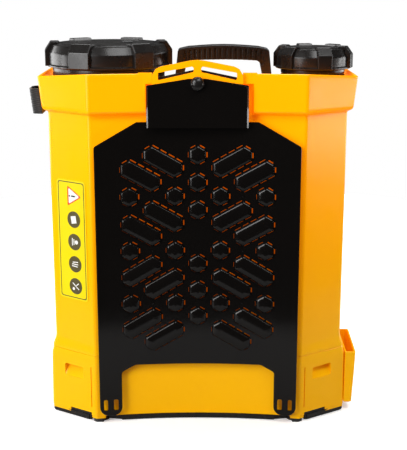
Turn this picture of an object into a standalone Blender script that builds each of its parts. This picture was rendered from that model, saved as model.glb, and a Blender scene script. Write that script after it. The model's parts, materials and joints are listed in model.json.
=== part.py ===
"""Two-mouth battery knapsack sprayer, as an assembly of separate pieces.

The wearer's side faces -Y, +X is on the right of someone who looks at that side, and +Z is up. The
origin is on the ground, under the middle of the whole object. Sizes are in millimetres here, and
every mesh and place is turned into metres where its object is made.
"""

import math

import bmesh
import bpy
from mathutils import Matrix, Vector

MM = 0.001
GAP = 0.3  # left between pieces that touch

# Tank: its plan is a rectangle with cut corners, and its wearer's side curves in at the middle
BODY_HALF = 181.5
FRONT_Y = -100.0
REAR_Y = 98.0
FRONT_HOLLOW = 12.0
FOLD_X = 128.0
CORNER_FRONT_Y = -62.0
CORNER_REAR_Y = 64.0
REAR_FOLD_X = 146.0
WALL = 3.5

SEAM_Z = 88.6
FLARE_Z = 102.0
RIM_BOTTOM_Z = 391.5
RIM_FRONT_Z = 438.6
RIM_SIDE_Z = 432.5
RIM_REAR_Z = 409.0  # lower, so that spilt liquid runs off away from the wearer
RIM_CHAMFER = 4.0
DECK_Z = 402.0
CEILING_Z = 398.0
FLOOR_Z = SEAM_Z + 4.0
FLARE = 4.0
RIM_SIDE_TOP = 11.5
RIM_SIDE_BOTTOM = 6.8
RIM_FRONT = 8.0
RIM_WALL = 3.6
RECESS_HALF = 66.0
RECESS_Y = -91.0
RECESS_BOTTOM_Z = 381.0

# Mouths and caps
BIG_X = -112.0
SMALL_X = 144.4
BIG = dict(neck=64.5, collar=70.0, bore=57.0, neck_top=459.0, skirt_in=67.0, skirt_out=75.0,
           lug_out=79.0, bottom=440.0, shoulder=458.0, lid=467.0, lug_top=470.5, lug_width=27.0, turn=38.0)
SMALL = dict(neck=37.0, collar=40.0, bore=31.0, neck_top=456.0, skirt_in=39.5, skirt_out=45.6,
             lug_out=49.0, bottom=437.0, shoulder=453.0, lid=461.5, lug_top=464.5, lug_width=18.0, turn=12.0)
COLLAR_TOP_Z = 435.0
LUGS = 6
LINER_THICK = 2.0
FLANGE_THICK = 2.0
STRAINER_BOTTOM_Z = 344.0

# Handle between the mouths
HANDLE_X = 31.9
HANDLE_TOP_Z = 466.4
GRIP_HALF = 56.3
FOOT_HALF = 63.0
GRIP_THICK = 19.5
GRIP_CROWN = 4.5
ARM_WIDTH = 9.5
HANDLE_DEPTH = 27.0
PAD_REACH = 14.0

# Back plate, its upper tab and the strap bracket behind the tab
PLATE_Y = -108.0
PLATE_THICK = 3.0
PLATE_HALF = 122.7
PLATE_SHOULDER_Z = 353.5
PLATE_TOP_Z = 382.0
PLATE_TOP_HALF = 72.5
PLATE_BOTTOM_Z = 77.5
EAR_IN = 95.0
EAR_BOTTOM_Z = 11.0
TAB_HALF = 60.0
TAB_Y = -106.0
TAB_SIDE_Z = 425.5
TAB_PEAK_Z = 433.5
TAB_PEAK_HALF = 10.0
PAD_ROW = 67.2
PAD_MID_Z = 225.0
PAD_WIDE = 22.6
PAD_RISE = 2.5
PAD_STEP = 26.4
KNOB_Z = 428.0
BRACKET_Y = TAB_Y + PLATE_THICK + GAP
BRACKET_THICK = 5.0

# Base
BASE_TOP_Z = SEAM_Z - GAP
BASE_BOTTOM_Z = 8.0
BASE_SHOULDER_Z = 80.0
BASE_SIDE = 6.0
BASE_REAR = 3.0
PLATE_UNDER_Z = 1.8
CUP_OUT_X = 205.0
CUP_FOOT_X = 199.5
CUP_Y = (-62.0, 26.0)
CUP_Z = (11.0, 80.0)
FOOT_PLACES = [(x, y) for x in (-121.0, 121.0) for y in (-87.0, 82.0)]
SCREW_PLACES = [(x, y) for x in (-168.0, 168.0) for y in (-38.0, 50.0)]

# Control panel on the rear of the base
PANEL_Y = REAR_Y + BASE_REAR + GAP
PANEL_THICK = 3.0
PANEL_FACE_Y = PANEL_Y + PANEL_THICK
PANEL_MID_Z = 48.0
PANEL_X = (-62.0, 87.0)
PANEL_HALF_HIGH = 24.0
SWITCH_X = -40.0
GAUGE_X = 0.0
DIAL_X = 40.0
SOCKET_X = 74.0

# Pump and battery inside the base
PUMP_Y = 12.0
PUMP_Z = 42.0
MOTOR_X = (-2.0, 62.0)
MOTOR_RADIUS = 19.0
HEAD_X = (62.3, 116.0)
PORT_X = HEAD_X[1] - 14.0
SUMP = (-62.0, 62.0)
BATTERY_LOW = (-160.0, -60.0, BASE_BOTTOM_Z + GAP)
BATTERY_HIGH = (-10.0, 35.0, 73.0)


# ---------------------------------------------------------------- helpers

def clear_scene():
    for obj in list(bpy.data.objects):
        bpy.data.objects.remove(obj, do_unlink=True)


def finish(name, colour, roughness, metallic=0.0):
    made = bpy.data.materials.new(name)
    made.use_nodes = True
    shader = made.node_tree.nodes["Principled BSDF"]
    shader.inputs["Base Color"].default_value = (*colour, 1.0)
    shader.inputs["Roughness"].default_value = roughness
    shader.inputs["Metallic"].default_value = metallic
    made.diffuse_color = (*colour, 1.0)
    return made


def add(name, bm, material=None, origin=(0, 0, 0)):
    """An object made from a mesh in millimetres, with its own origin at the given place."""
    bmesh.ops.recalc_face_normals(bm, faces=bm.faces)
    bm.transform(Matrix.Scale(MM, 4) @ Matrix.Translation(-Vector(origin)))
    mesh = bpy.data.meshes.new(name)
    bm.to_mesh(mesh)
    bm.free()
    mesh.shade_smooth()
    mesh.set_sharp_from_angle(angle=math.radians(35))
    obj = bpy.data.objects.new(name, mesh)
    obj.location = Vector(origin) * MM
    bpy.context.scene.collection.objects.link(obj)
    if material:
        mesh.materials.append(material)
    return obj


def boolean(obj, bm, operation, solver):
    """Adds, takes away or keeps the inside of the given mesh, through a hidden helper object.

    The solver is EXACT, except on the tank and the caps' lugs, where EXACT leaves open edges.
    """
    other = add(f"{obj.name}_{operation.lower()}_{len(obj.modifiers)}", bm)
    other.hide_render = True
    other.display_type = "WIRE"
    modifier = obj.modifiers.new(operation.title(), "BOOLEAN")
    modifier.operation = operation
    modifier.solver = solver
    modifier.object = other
    return obj


def carve(obj, *meshes, solver="EXACT"):
    for bm in meshes:
        boolean(obj, bm, "DIFFERENCE", solver)
    return obj


def fuse(obj, *meshes, solver="EXACT"):
    for bm in meshes:
        boolean(obj, bm, "UNION", solver)
    return obj


def keep_inside(obj, bm):
    return boolean(obj, bm, "INTERSECT", "EXACT")


def loft(rings):
    """A closed solid through rings of points, which all have the same number of points.

    An end ring that isn't flat along an axis is closed by a fan round its middle.
    """
    bm = bmesh.new()
    rows = [[bm.verts.new(point) for point in ring] for ring in rings]
    count = len(rows[0])
    for low, high in zip(rows, rows[1:]):
        for i in range(count):
            j = (i + 1) % count
            bm.faces.new((low[i], low[j], high[j], high[i]))
    for ring, row in ((rings[0], rows[0]), (rings[-1], rows[-1])):
        if any(max(p[k] for p in ring) - min(p[k] for p in ring) < 1e-6 for k in range(3)):
            bm.faces.new(row)
            continue
        middle = bm.verts.new(sum((v.co for v in row), Vector()) / count)
        for i in range(count):
            bm.faces.new((row[i], row[(i + 1) % count], middle))
    bm.normal_update()
    bmesh.ops.triangulate(bm, faces=bm.faces)
    return bm


def prism(outline, low, high, axis="Z"):
    """An outline pushed along an axis. Its points are (x, y) along Z, (x, z) along Y, (y, z) along X."""
    places = {
        "X": lambda a, b, c: (c, a, b),
        "Y": lambda a, b, c: (a, c, b),
        "Z": lambda a, b, c: (a, b, c),
    }
    return loft([[places[axis](a, b, level) for a, b in outline] for level in (low, high)])


def box(low, high):
    (x0, y0, z0), (x1, y1, z1) = low, high
    return prism([(x0, y0), (x1, y0), (x1, y1), (x0, y1)], z0, z1)


def circle(x, y, radius, steps=24, start=0.0, sweep=360.0):
    whole = sweep == 360.0
    spans = steps if whole else steps - 1
    turns = [math.radians(start + sweep * i / spans) for i in range(steps)]
    return [(x + radius * math.cos(t), y + radius * math.sin(t)) for t in turns]


def rod(x, y, z, radius, length, axis="Z", steps=16):
    """A cylinder that starts at a place and runs along +axis, or along -axis for a negative length."""
    a, b, start = {"X": (y, z, x), "Y": (x, z, y), "Z": (x, y, z)}[axis]
    return prism(circle(a, b, radius, steps), *sorted((start, start + length)), axis)


def turned(profile, place, axis="Z", steps=20):
    """A closed outline of (radius, height) points, spun about an axis through a place."""
    bm = bmesh.new()
    turns = [2 * math.pi * i / steps for i in range(steps)]
    rows = []
    for radius, height in profile:
        if radius < 1e-6:
            rows.append([bm.verts.new((0, 0, height))] * steps)
        else:
            rows.append([bm.verts.new((radius * math.cos(t), radius * math.sin(t), height)) for t in turns])
    for i, row in enumerate(rows):
        after = rows[(i + 1) % len(rows)]
        for k in range(steps):
            n = (k + 1) % steps
            corners = list(dict.fromkeys((row[k], row[n], after[n], after[k])))
            if len(corners) > 2:
                bm.faces.new(corners)
    lay = {"X": Matrix.Rotation(math.pi / 2, 4, "Y"), "Y": Matrix.Rotation(-math.pi / 2, 4, "X"), "Z": Matrix()}
    bm.transform(Matrix.Translation(Vector(place)) @ lay[axis])
    return bm


def hose(name, points, radius, material):
    """A hose along a smooth curve through a few points."""
    places = [Vector(p) for p in points]
    padded = [2 * places[0] - places[1], *places, 2 * places[-1] - places[-2]]
    route = []
    for a, b, c, d in zip(padded, padded[1:], padded[2:], padded[3:]):
        for i in range(3):
            t = i / 3
            route.append(0.5 * (2 * b + (c - a) * t + (2 * a - 5 * b + 4 * c - d) * t ** 2
                                + (3 * b - a - 3 * c + d) * t ** 3))
    route.append(places[-1])
    curve = bpy.data.curves.new(name, "CURVE")
    curve.dimensions = "3D"
    curve.bevel_depth = radius * MM
    curve.bevel_resolution = 2
    curve.use_fill_caps = True
    spline = curve.splines.new("POLY")
    spline.points.add(len(route) - 1)
    for point, place in zip(spline.points, route):
        point.co = (*(place * MM), 1.0)
    curve.materials.append(material)
    obj = bpy.data.objects.new(name, curve)
    bpy.context.scene.collection.objects.link(obj)
    return obj


# ---------------------------------------------------------------- plan of the tank and the base

def hollow_y(x, edge_y, half=FOLD_X):
    """The wearer's side: at edge_y on both folds, and further back towards the middle."""
    return edge_y + FRONT_HOLLOW * (1 - (x / half) ** 2)


def plan(z, side=0.0, front=0.0, rear=0.0, side_z=None, rear_z=None, inner_half=None):
    """One ring round the tank, grown by side, front and rear, with flanks and rear at other heights if given.

    inner_half makes a notch in the ring's wearer's side, behind the strap bracket's recess.
    """
    half = BODY_HALF + side
    front_y = FRONT_Y - front
    rear_y = REAR_Y + rear
    flank_z = z if side_z is None else side_z
    back_z = flank_z if rear_z is None else rear_z
    ring = []
    for i in range(9):
        x = FOLD_X * (i / 4 - 1)
        ring.append((x, hollow_y(x, front_y), z))
    if inner_half:
        notch_y = RECESS_Y + 7.0
        ring = [p for p in ring if abs(p[0]) > inner_half]
        middle = len(ring) // 2
        y = hollow_y(inner_half, front_y)
        ring[middle:middle] = [(-inner_half, y, z), (-inner_half, notch_y, z),
                               (inner_half, notch_y, z), (inner_half, y, z)]
    ring += [(half, CORNER_FRONT_Y - front / 4, flank_z), (half, CORNER_REAR_Y, flank_z),
             (REAR_FOLD_X, rear_y, back_z), (-REAR_FOLD_X, rear_y, back_z),
             (-half, CORNER_REAR_Y, flank_z), (-half, CORNER_FRONT_Y - front / 4, flank_z)]
    return ring


# ---------------------------------------------------------------- tank group

def make_tank(yellow):
    tank = add("tank_shell", loft([
        plan(SEAM_Z, side=FLARE, front=1, rear=2),
        plan(FLARE_Z),
        plan(RIM_BOTTOM_Z - RIM_CHAMFER),
        plan(RIM_BOTTOM_Z, side=RIM_SIDE_BOTTOM, front=RIM_FRONT, rear=RIM_SIDE_BOTTOM),
        plan(RIM_FRONT_Z, side=RIM_SIDE_TOP, front=RIM_FRONT, rear=RIM_SIDE_TOP, side_z=RIM_SIDE_Z,
             rear_z=RIM_REAR_Z),
    ]), yellow)
    tray = loft([
        plan(DECK_Z, side=RIM_SIDE_BOTTOM - RIM_WALL, front=RIM_FRONT - RIM_WALL,
             rear=RIM_SIDE_BOTTOM - RIM_WALL, inner_half=RECESS_HALF + 4),
        plan(RIM_FRONT_Z + 8, side=RIM_SIDE_TOP - RIM_WALL, front=RIM_FRONT - RIM_WALL,
             rear=RIM_SIDE_TOP - RIM_WALL, inner_half=RECESS_HALF + 4),
    ])
    inside = loft([plan(z, side=-WALL, front=-WALL, rear=-WALL) for z in (FLOOR_Z, CEILING_Z)])
    recess = box((-RECESS_HALF, -140, RECESS_BOTTOM_Z), (RECESS_HALF, RECESS_Y, RIM_FRONT_Z + 8))
    low_wall = prism([(-RECESS_HALF, RIM_FRONT_Z + 8), (-RECESS_HALF, 428), (-50, 428), (-8, 436.5), (8, 436.5),
                      (50, 428), (RECESS_HALF, 428), (RECESS_HALF, RIM_FRONT_Z + 8)], RECESS_Y - 2, RECESS_Y + 12, "Y")
    carve(tank, tray, inside, recess, low_wall, solver="MANIFOLD")
    for x, m in ((BIG_X, BIG), (SMALL_X, SMALL)):
        fuse(tank, turned([(0, CEILING_Z + 1), (m["neck"], CEILING_Z + 1), (m["neck"], m["neck_top"]),
                           (0, m["neck_top"])], (x, 0, 0), steps=32), solver="MANIFOLD")
        carve(tank, rod(x, 0, CEILING_Z - 8, m["bore"], m["neck_top"] - CEILING_Z + 12, steps=32),
              solver="MANIFOLD")
    for x in (HANDLE_X - FOOT_HALF + PAD_REACH / 2 + ARM_WIDTH, HANDLE_X + FOOT_HALF - PAD_REACH / 2 - ARM_WIDTH):
        carve(tank, rod(x, 0, DECK_Z - 3.3, 2.3, 10, steps=12), solver="MANIFOLD")
    carve(tank, rod(*SUMP, SEAM_Z - 5, 11.0, 20), rod(0, RECESS_Y - 1, KNOB_Z, 3.4, 5.0, "Y", steps=16),
          solver="MANIFOLD")
    return tank


def make_strainer(white):
    """A basket that hangs in the big mouth on its flange, with two rows of windows."""
    top = BIG["neck_top"] + GAP
    wall_out, wall_in = BIG["bore"] - 2.0, BIG["bore"] - 4.5
    basket = add("strainer_basket", turned([
        (0, STRAINER_BOTTOM_Z), (wall_out - 6, STRAINER_BOTTOM_Z), (wall_out, STRAINER_BOTTOM_Z + 6),
        (wall_out, top), (BIG["neck"] - 1, top), (BIG["neck"] - 1, top + FLANGE_THICK),
        (wall_in, top + FLANGE_THICK), (wall_in, STRAINER_BOTTOM_Z + 7), (wall_in - 5, STRAINER_BOTTOM_Z + 2.5),
        (0, STRAINER_BOTTOM_Z + 2.5)], (BIG_X, 0, 0), steps=28), white, (BIG_X, 0, top))
    for row in range(2):
        low = STRAINER_BOTTOM_Z + 14 + 48 * row
        for i in range(3):
            slot = box((-80, -17, low), (80, 17, low + 38))
            slot.transform(Matrix.Translation((BIG_X, 0, 0)) @ Matrix.Rotation(math.radians(60 * i), 4, "Z"))
            carve(basket, slot)
    return basket


def make_neck_ring(name, x, m, black):
    """The black collar that sits on the deck round a neck, below its cap."""
    inner, outer, low = m["neck"] + GAP, m["collar"], DECK_Z + GAP
    return add(name, turned([(inner, low), (outer, low), (outer, COLLAR_TOP_Z - 1), (outer - 1, COLLAR_TOP_Z),
                             (inner, COLLAR_TOP_Z)], (x, 0, 0), steps=32), black)


def make_liner(name, x, m, rubber):
    low = m["neck_top"] + (FLANGE_THICK + 2 * GAP if x == BIG_X else GAP)
    return add(name, turned([(m["bore"] - 6, low), (m["neck"] - 1.5, low), (m["neck"] - 1.5, low + LINER_THICK),
                             (m["bore"] - 6, low + LINER_THICK)], (x, 0, 0), steps=24), rubber, (x, 0, low))


def make_cap(name, x, m, black):
    """A screw cap: a skirt, a lid that steps in at its shoulder, and lugs that stand out and up."""
    liner_top = m["neck_top"] + LINER_THICK + (FLANGE_THICK + 2 * GAP if x == BIG_X else GAP)
    under = liner_top + GAP
    lid = m["lid"]
    cap = add(name, turned([
        (0, under), (m["skirt_in"], under), (m["skirt_in"], m["bottom"]), (m["skirt_out"], m["bottom"]),
        (m["skirt_out"], m["shoulder"]), (m["skirt_out"] - 5, lid), (m["skirt_out"] - 9, lid),
        (m["skirt_out"] - 10, lid + 1.2), (0, lid + 1.2)], (x, 0, 0), steps=36), black, (x, 0, under))
    for i in range(LUGS):
        half = m["lug_width"] / 2
        inner = m["skirt_out"] - 16
        lug = prism([(m["skirt_in"] + 2, m["bottom"] + 1), (m["lug_out"], m["bottom"] + 1),
                     (m["lug_out"], m["shoulder"] + 3), (m["lug_out"] - 6, m["lug_top"]),
                     (inner + 3, m["lug_top"]), (inner, lid), (inner, lid - 1.5), (m["skirt_in"] + 2, lid - 1.5)],
                    -half, half, "Y")
        angle = math.radians(60 * i - 30 + m["turn"])
        lug.transform(Matrix.Translation((x, 0, 0)) @ Matrix.Rotation(angle, 4, "Z"))
        fuse(cap, lug, solver="MANIFOLD")
    return cap


def make_vent(rubber):
    """The check valve that lets air in through the big cap's lid as the tank empties."""
    under = BIG["lid"] + 1.2 + GAP
    return add("cap_vent_button", turned([(0, under), (7, under), (7, under + 1.0), (5, under + 1.9),
                                          (0, under + 1.9)], (BIG_X + 24, 0, 0), steps=16), rubber)


def make_handle(black, steel):
    """An arched bar with splayed arms, whose feet turn in and are screwed to the tank's deck."""
    foot_z = DECK_Z + GAP
    top = [(HANDLE_X + GRIP_HALF * t, HANDLE_TOP_Z - GRIP_CROWN * t * t) for t in (1, 0.9, 0.6, 0.3, 0, -0.3, -0.6, -0.9, -1)]
    under = [(HANDLE_X + (GRIP_HALF - ARM_WIDTH) * t, HANDLE_TOP_Z - GRIP_THICK - 1.5 * (t * t))
             for t in (-1, -0.5, 0, 0.5, 1)]
    arm_in = FOOT_HALF - ARM_WIDTH
    outline = [(HANDLE_X + FOOT_HALF, foot_z), *top, (HANDLE_X - FOOT_HALF, foot_z),
               (HANDLE_X - arm_in + PAD_REACH, foot_z), (HANDLE_X - arm_in + PAD_REACH, foot_z + 4),
               (HANDLE_X - arm_in, foot_z + 4), *under, (HANDLE_X + arm_in, foot_z + 4),
               (HANDLE_X + arm_in - PAD_REACH, foot_z + 4), (HANDLE_X + arm_in - PAD_REACH, foot_z)]
    handle = add("carry_handle", prism(outline, -HANDLE_DEPTH / 2, HANDLE_DEPTH / 2, "Y"), black)
    places = {"left": HANDLE_X - arm_in + PAD_REACH / 2, "right": HANDLE_X + arm_in - PAD_REACH / 2}
    for side, x in places.items():
        carve(handle, rod(x, 0, foot_z - 2, 2.4, 12, steps=12))
        add(f"handle_screw_{side}", turned([
            (0, DECK_Z - 2.9), (2.0, DECK_Z - 2.9), (2.0, foot_z + 4 + GAP), (4.5, foot_z + 4 + GAP),
            (4.5, foot_z + 5.8), (3.0, foot_z + 7.0), (0, foot_z + 7.0)], (x, 0, 0), steps=10), steel)
    return handle


def hexagon(x, z, wide=PAD_WIDE):
    return circle(x, z, wide / math.sqrt(3), steps=6, start=30)


def long_pad(x, z, rise, wide=PAD_WIDE):
    """The outline round two hexagons that lie a step apart on a slope of 30 degrees, up or down."""
    slope = math.radians(30 * rise)
    reach = PAD_STEP / math.sqrt(3)
    points = []
    for turn, end in ((0, 1), (60, 1), (120, -1), (180, -1), (240, -1), (300, 1)):
        angle = slope + math.radians(turn)
        points.append((x + end * reach * math.cos(slope) + wide / math.sqrt(3) * math.cos(angle),
                       z + end * reach * math.sin(slope) + wide / math.sqrt(3) * math.sin(angle)))
    return points


def pad_places():
    """The pads' places and slopes: slope 0 is a single hexagon."""
    places = [(s * c, PAD_MID_Z + PAD_ROW * r, 0) for c in (27.4, 81.8) for r in (-1, 0, 1) for s in (-1, 1)]
    places += [(0, PAD_MID_Z + PAD_ROW / 4 * k, 0) for k in (-5, -3, -1, 3, 5, 7)]
    for row in (0, 1):
        for s in (-1, 1):
            upper = PAD_MID_Z + PAD_ROW * row
            lower = PAD_MID_Z - PAD_ROW * row
            places += [(s * 41.3, upper + 42.3, s), (s * 68.2, upper + 25.5, s),
                       (s * 68.2, lower - 25.5, -s), (s * 41.3, lower - 42.3, -s)]
    return places


def curved_slab(front_y, back_y, half, low, high):
    steps = 11
    xs = [half * (2 * i / steps - 1) for i in range(steps + 1)]
    near = [(x, hollow_y(x, front_y, PLATE_HALF)) for x in xs]
    far = [(x, hollow_y(x, back_y, PLATE_HALF)) for x in reversed(xs)]
    return prism(near + far, low, high)


def make_back_plate(black):
    """The plate against the wearer's back: a curved sheet with pads, two ears below and a flat tab above."""
    half = [(0, PLATE_BOTTOM_Z), (78, PLATE_BOTTOM_Z), (EAR_IN, PLATE_BOTTOM_Z - 9), (EAR_IN, EAR_BOTTOM_Z + 4),
            (EAR_IN + 5, EAR_BOTTOM_Z), (PLATE_HALF - 10, EAR_BOTTOM_Z - 1), (PLATE_HALF - 3, EAR_BOTTOM_Z + 4),
            (PLATE_HALF, EAR_BOTTOM_Z + 14), (PLATE_HALF, PLATE_SHOULDER_Z), (PLATE_TOP_HALF, PLATE_TOP_Z)]
    outline = half + [(-x, z) for x, z in reversed(half) if x]
    plate = add("back_plate", prism(outline, PLATE_Y - 20, PLATE_Y + 40, "Y"), black)
    keep_inside(plate, curved_slab(PLATE_Y, PLATE_Y + PLATE_THICK, PLATE_HALF + 2, 0, 400))
    for x, z, slope in pad_places():
        shape = long_pad(x, z, slope) if slope else hexagon(x, z)
        small = long_pad(x, z, slope, PAD_WIDE - 5) if slope else hexagon(x, z, PAD_WIDE - 5)
        ends = [[(a, hollow_y(a, PLATE_Y, PLATE_HALF) + y, b) for a, b in ring]
                for ring, y in ((small, -PAD_RISE), (shape, PLATE_THICK / 2))]
        fuse(plate, loft(ends))
    tab = [(-TAB_HALF, PLATE_TOP_Z - 6), (TAB_HALF, PLATE_TOP_Z - 6), (TAB_HALF, TAB_SIDE_Z),
           (TAB_PEAK_HALF, TAB_PEAK_Z), (-TAB_PEAK_HALF, TAB_PEAK_Z), (-TAB_HALF, TAB_SIDE_Z)]
    web_back = hollow_y(TAB_HALF, PLATE_Y + PLATE_THICK, PLATE_HALF) - 0.6
    fuse(plate, prism(tab, TAB_Y, TAB_Y + PLATE_THICK, "Y"),
         box((-TAB_HALF + 0.5, TAB_Y + 1, PLATE_TOP_Z - 5), (TAB_HALF - 0.5, web_back, PLATE_TOP_Z - 2)))
    carve(plate, rod(0, TAB_Y - 5, KNOB_Z, 3.4, 15, "Y", steps=16))
    for side in (-1, 1):
        for x in (102.6, 115.2):
            carve(plate, box((side * x - 2.3, PLATE_Y - 10, 18.5), (side * x + 2.3, PLATE_Y + 20, 32.5)))
    return plate


def make_strap_bracket(yellow):
    """The bracket with two slots for the shoulder straps, with a boss that seats in the rim's recess."""
    half = [(0, 402), (44, 402), (53, 412), (53, 437), (49, 444), (43, 447), (0, 455.5)]
    outline = half + [(-x, z) for x, z in reversed(half) if x]
    bracket = add("strap_bracket", prism(outline, BRACKET_Y, BRACKET_Y + BRACKET_THICK, "Y"), yellow)
    fuse(bracket, box((-22, BRACKET_Y + 2, 404), (22, RECESS_Y - GAP, 434)))
    for side in (-1, 1):
        slot = [(side * 4.5, 440.5), (side * 46, 431), (side * 46, 440), (side * 4.5, 447.5)]
        carve(bracket, prism(slot, BRACKET_Y - 5, BRACKET_Y + 20, "Y"))
    carve(bracket, rod(0, BRACKET_Y - 5, KNOB_Z, 3.4, 30, "Y", steps=16))
    return bracket


def make_plate_knob(black):
    """The domed bolt that clamps the plate's tab and the strap bracket to the tank."""
    back = RECESS_Y + 3.0
    face = TAB_Y - GAP
    dome = [(8.2 * math.cos(t), face - 2.0 - 5.6 * math.sin(t)) for t in (0, 0.4, 0.8, 1.2)]
    profile = [(0, back), (3.0, back), (3.0, face), (8.2, face), *dome, (0, face - 7.7)]
    bolt = turned([(r, -y) for r, y in profile], (0, 0, 0), steps=18)
    bolt.transform(Matrix.Translation((0, 0, KNOB_Z)) @ Matrix.Rotation(math.pi / 2, 4, "X"))
    return add("plate_knob", bolt, black)


def make_hose_loop(webbing):
    """A loop of webbing on the rim's left flank, which leans with it. It holds the hose when it is stowed."""
    bm = bmesh.new()
    rows = []
    outer = [(0.0, -58), (-10.5, -56), (-13.0, -51), (-13.0, -27), (-10.5, -22), (0.0, -20)]
    inner = [(-1.8, -22.5), (-9.4, -24), (-11.2, -28), (-11.2, -50), (-9.4, -54), (-1.8, -55.5)]
    for z in (386.0, 414.0):
        reach = RIM_SIDE_BOTTOM + (RIM_SIDE_TOP - RIM_SIDE_BOTTOM) * (z - RIM_BOTTOM_Z) / (RIM_SIDE_Z - RIM_BOTTOM_Z)
        wall_x = -(BODY_HALF + reach) - 1.0
        rows.append([[bm.verts.new((wall_x + x, y, z)) for x, y in ring] for ring in (outer, inner[::-1])])
    count = len(outer)
    for i in range(count):
        j = (i + 1) % count
        (low_out, low_in), (high_out, high_in) = rows
        bm.faces.new((low_out[i], low_out[j], high_out[j], high_out[i]))
        bm.faces.new((low_in[i], high_in[i], high_in[j], low_in[j]))
        bm.faces.new((low_out[i], low_in[i], low_in[j], low_out[j]))
        bm.faces.new((high_out[i], high_out[j], high_in[j], high_in[i]))
    return add("hose_loop", bm, webbing)


def corner_face(side, along, z, off, grown=0.0):
    """A point on the front corner face: along runs from 0 at the fold to 1 at the flank.

    The face is the tank's, or the base's if the flank's growth is given.
    """
    start, end = Vector((FOLD_X, FRONT_Y)), Vector((BODY_HALF + grown, CORNER_FRONT_Y))
    normal = Vector((end.y - start.y, start.x - end.x)).normalized()
    place = start.lerp(end, along) + normal * off
    return (side * place.x, place.y, z)


def make_label(film):
    """A film label on the left corner face."""
    corners = [(0.13, 158.0), (0.83, 158.0), (0.83, 309.0), (0.13, 309.0)]
    return add("side_label", loft([[corner_face(-1, a, z, off) for a, z in corners] for off in (GAP, GAP + 0.5)]), film)


# ---------------------------------------------------------------- base group

def make_base_housing(yellow):
    """The cover under the tank, open below, with a window for the panel and bosses for its screws."""
    def shell(z, inset, side, rear):
        return plan(z, side=side - inset, front=1 - inset, rear=rear - inset)
    outer = [(BASE_BOTTOM_Z, BASE_SIDE + 1, BASE_REAR), (BASE_SHOULDER_Z, BASE_SIDE, BASE_REAR), (BASE_TOP_Z, FLARE, 2)]
    housing = add("base_housing", loft([shell(z, 0, s, r) for z, s, r in outer]), yellow)
    carve(housing, loft([shell(z, 3.0, BASE_SIDE - 2, 2) for z in (BASE_BOTTOM_Z - 6, BASE_TOP_Z - 3.5)]))
    for x, y in SCREW_PLACES:
        fuse(housing, rod(x, y, BASE_BOTTOM_Z + 0.5, 5.0, BASE_TOP_Z - BASE_BOTTOM_Z - 2.5, steps=10))
        carve(housing, rod(x, y, BASE_BOTTOM_Z - 3, 2.0, 18, steps=8))
    carve(housing, rod(*SUMP, BASE_TOP_Z - 8, 14.0, 12),
          rod(PORT_X, REAR_Y - 10, PUMP_Z, 8.5, 25, "Y"),
          box((PANEL_X[0] + 6, REAR_Y - 8, PANEL_MID_Z - 18), (PANEL_X[1] - 6, REAR_Y + 10, PANEL_MID_Z + 18)))
    for side in (-1, 1):
        grip = [corner_face(side, a, 0, off, BASE_SIDE + 1)
                for a, off in ((0.24, -0.7), (0.70, -0.7), (0.70, 9.0), (0.24, 9.0))]
        carve(housing, prism([(x, y) for x, y, _ in grip], 57.0, 70.0))
    return housing


def make_bottom_plate(black):
    plate = add("bottom_plate", loft([
        plan(PLATE_UNDER_Z, side=BASE_SIDE - 2.5, front=-1, rear=0),
        plan(BASE_BOTTOM_Z - GAP, side=BASE_SIDE - 0.5, front=0.3, rear=BASE_REAR - 1)]), black)
    for x, y in FOOT_PLACES:
        carve(plate, rod(x, y, -2, 6.9, 20, steps=14))
    for x, y in SCREW_PLACES:
        carve(plate, rod(x, y, -2, 2.1, 20, steps=8), rod(x, y, -2, 4.8, 7.0, steps=8))
    return plate


def make_feet(rubber):
    """Rubber plugs pushed up through the bottom plate, with a flange over it and a wide pad under it."""
    for i, (x, y) in enumerate(FOOT_PLACES):
        low = PLATE_UNDER_Z - GAP
        add(f"rubber_foot_{i + 1}", turned([
            (0, 0), (7.6, 0), (8.4, 0.8), (8.4, low), (6.4, low), (6.4, BASE_BOTTOM_Z), (8.4, BASE_BOTTOM_Z),
            (8.4, BASE_BOTTOM_Z + 1.8), (0, BASE_BOTTOM_Z + 1.8)], (x, y, 0), steps=14), rubber)


def make_bottom_screws(steel):
    for i, (x, y) in enumerate(SCREW_PLACES):
        add(f"bottom_screw_{i + 1}", turned([
            (0, 2.4), (3.0, 2.4), (4.1, 3.2), (4.1, 4.7), (1.6, 4.7), (1.6, 20.0), (0, 20.0)],
            (x, y, 0), steps=8), steel)


def make_lance_cup(yellow):
    """The open pocket on the base's right flank that the lance stands in."""
    x0 = BODY_HALF + BASE_SIDE + 1 + GAP
    (y0, y1), (z0, z1) = CUP_Y, CUP_Z
    def ring(out_x, z, wall):
        low, high = y0 + wall, y1 - wall
        x = out_x - wall
        return [(x0 + wall, low, z), (x - 5, low, z), (x, low + 5, z), (x, high - 5, z), (x - 5, high, z),
                (x0 + wall, high, z)]
    cup = add("lance_cup", loft([ring(CUP_FOOT_X, z0, 0), ring(CUP_OUT_X, z1, 0)]), yellow)
    carve(cup, loft([ring(CUP_FOOT_X, z0 + 3, 2.2), ring(CUP_OUT_X + 0.4, z1 + 5, 2.2)]))
    return cup


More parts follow.
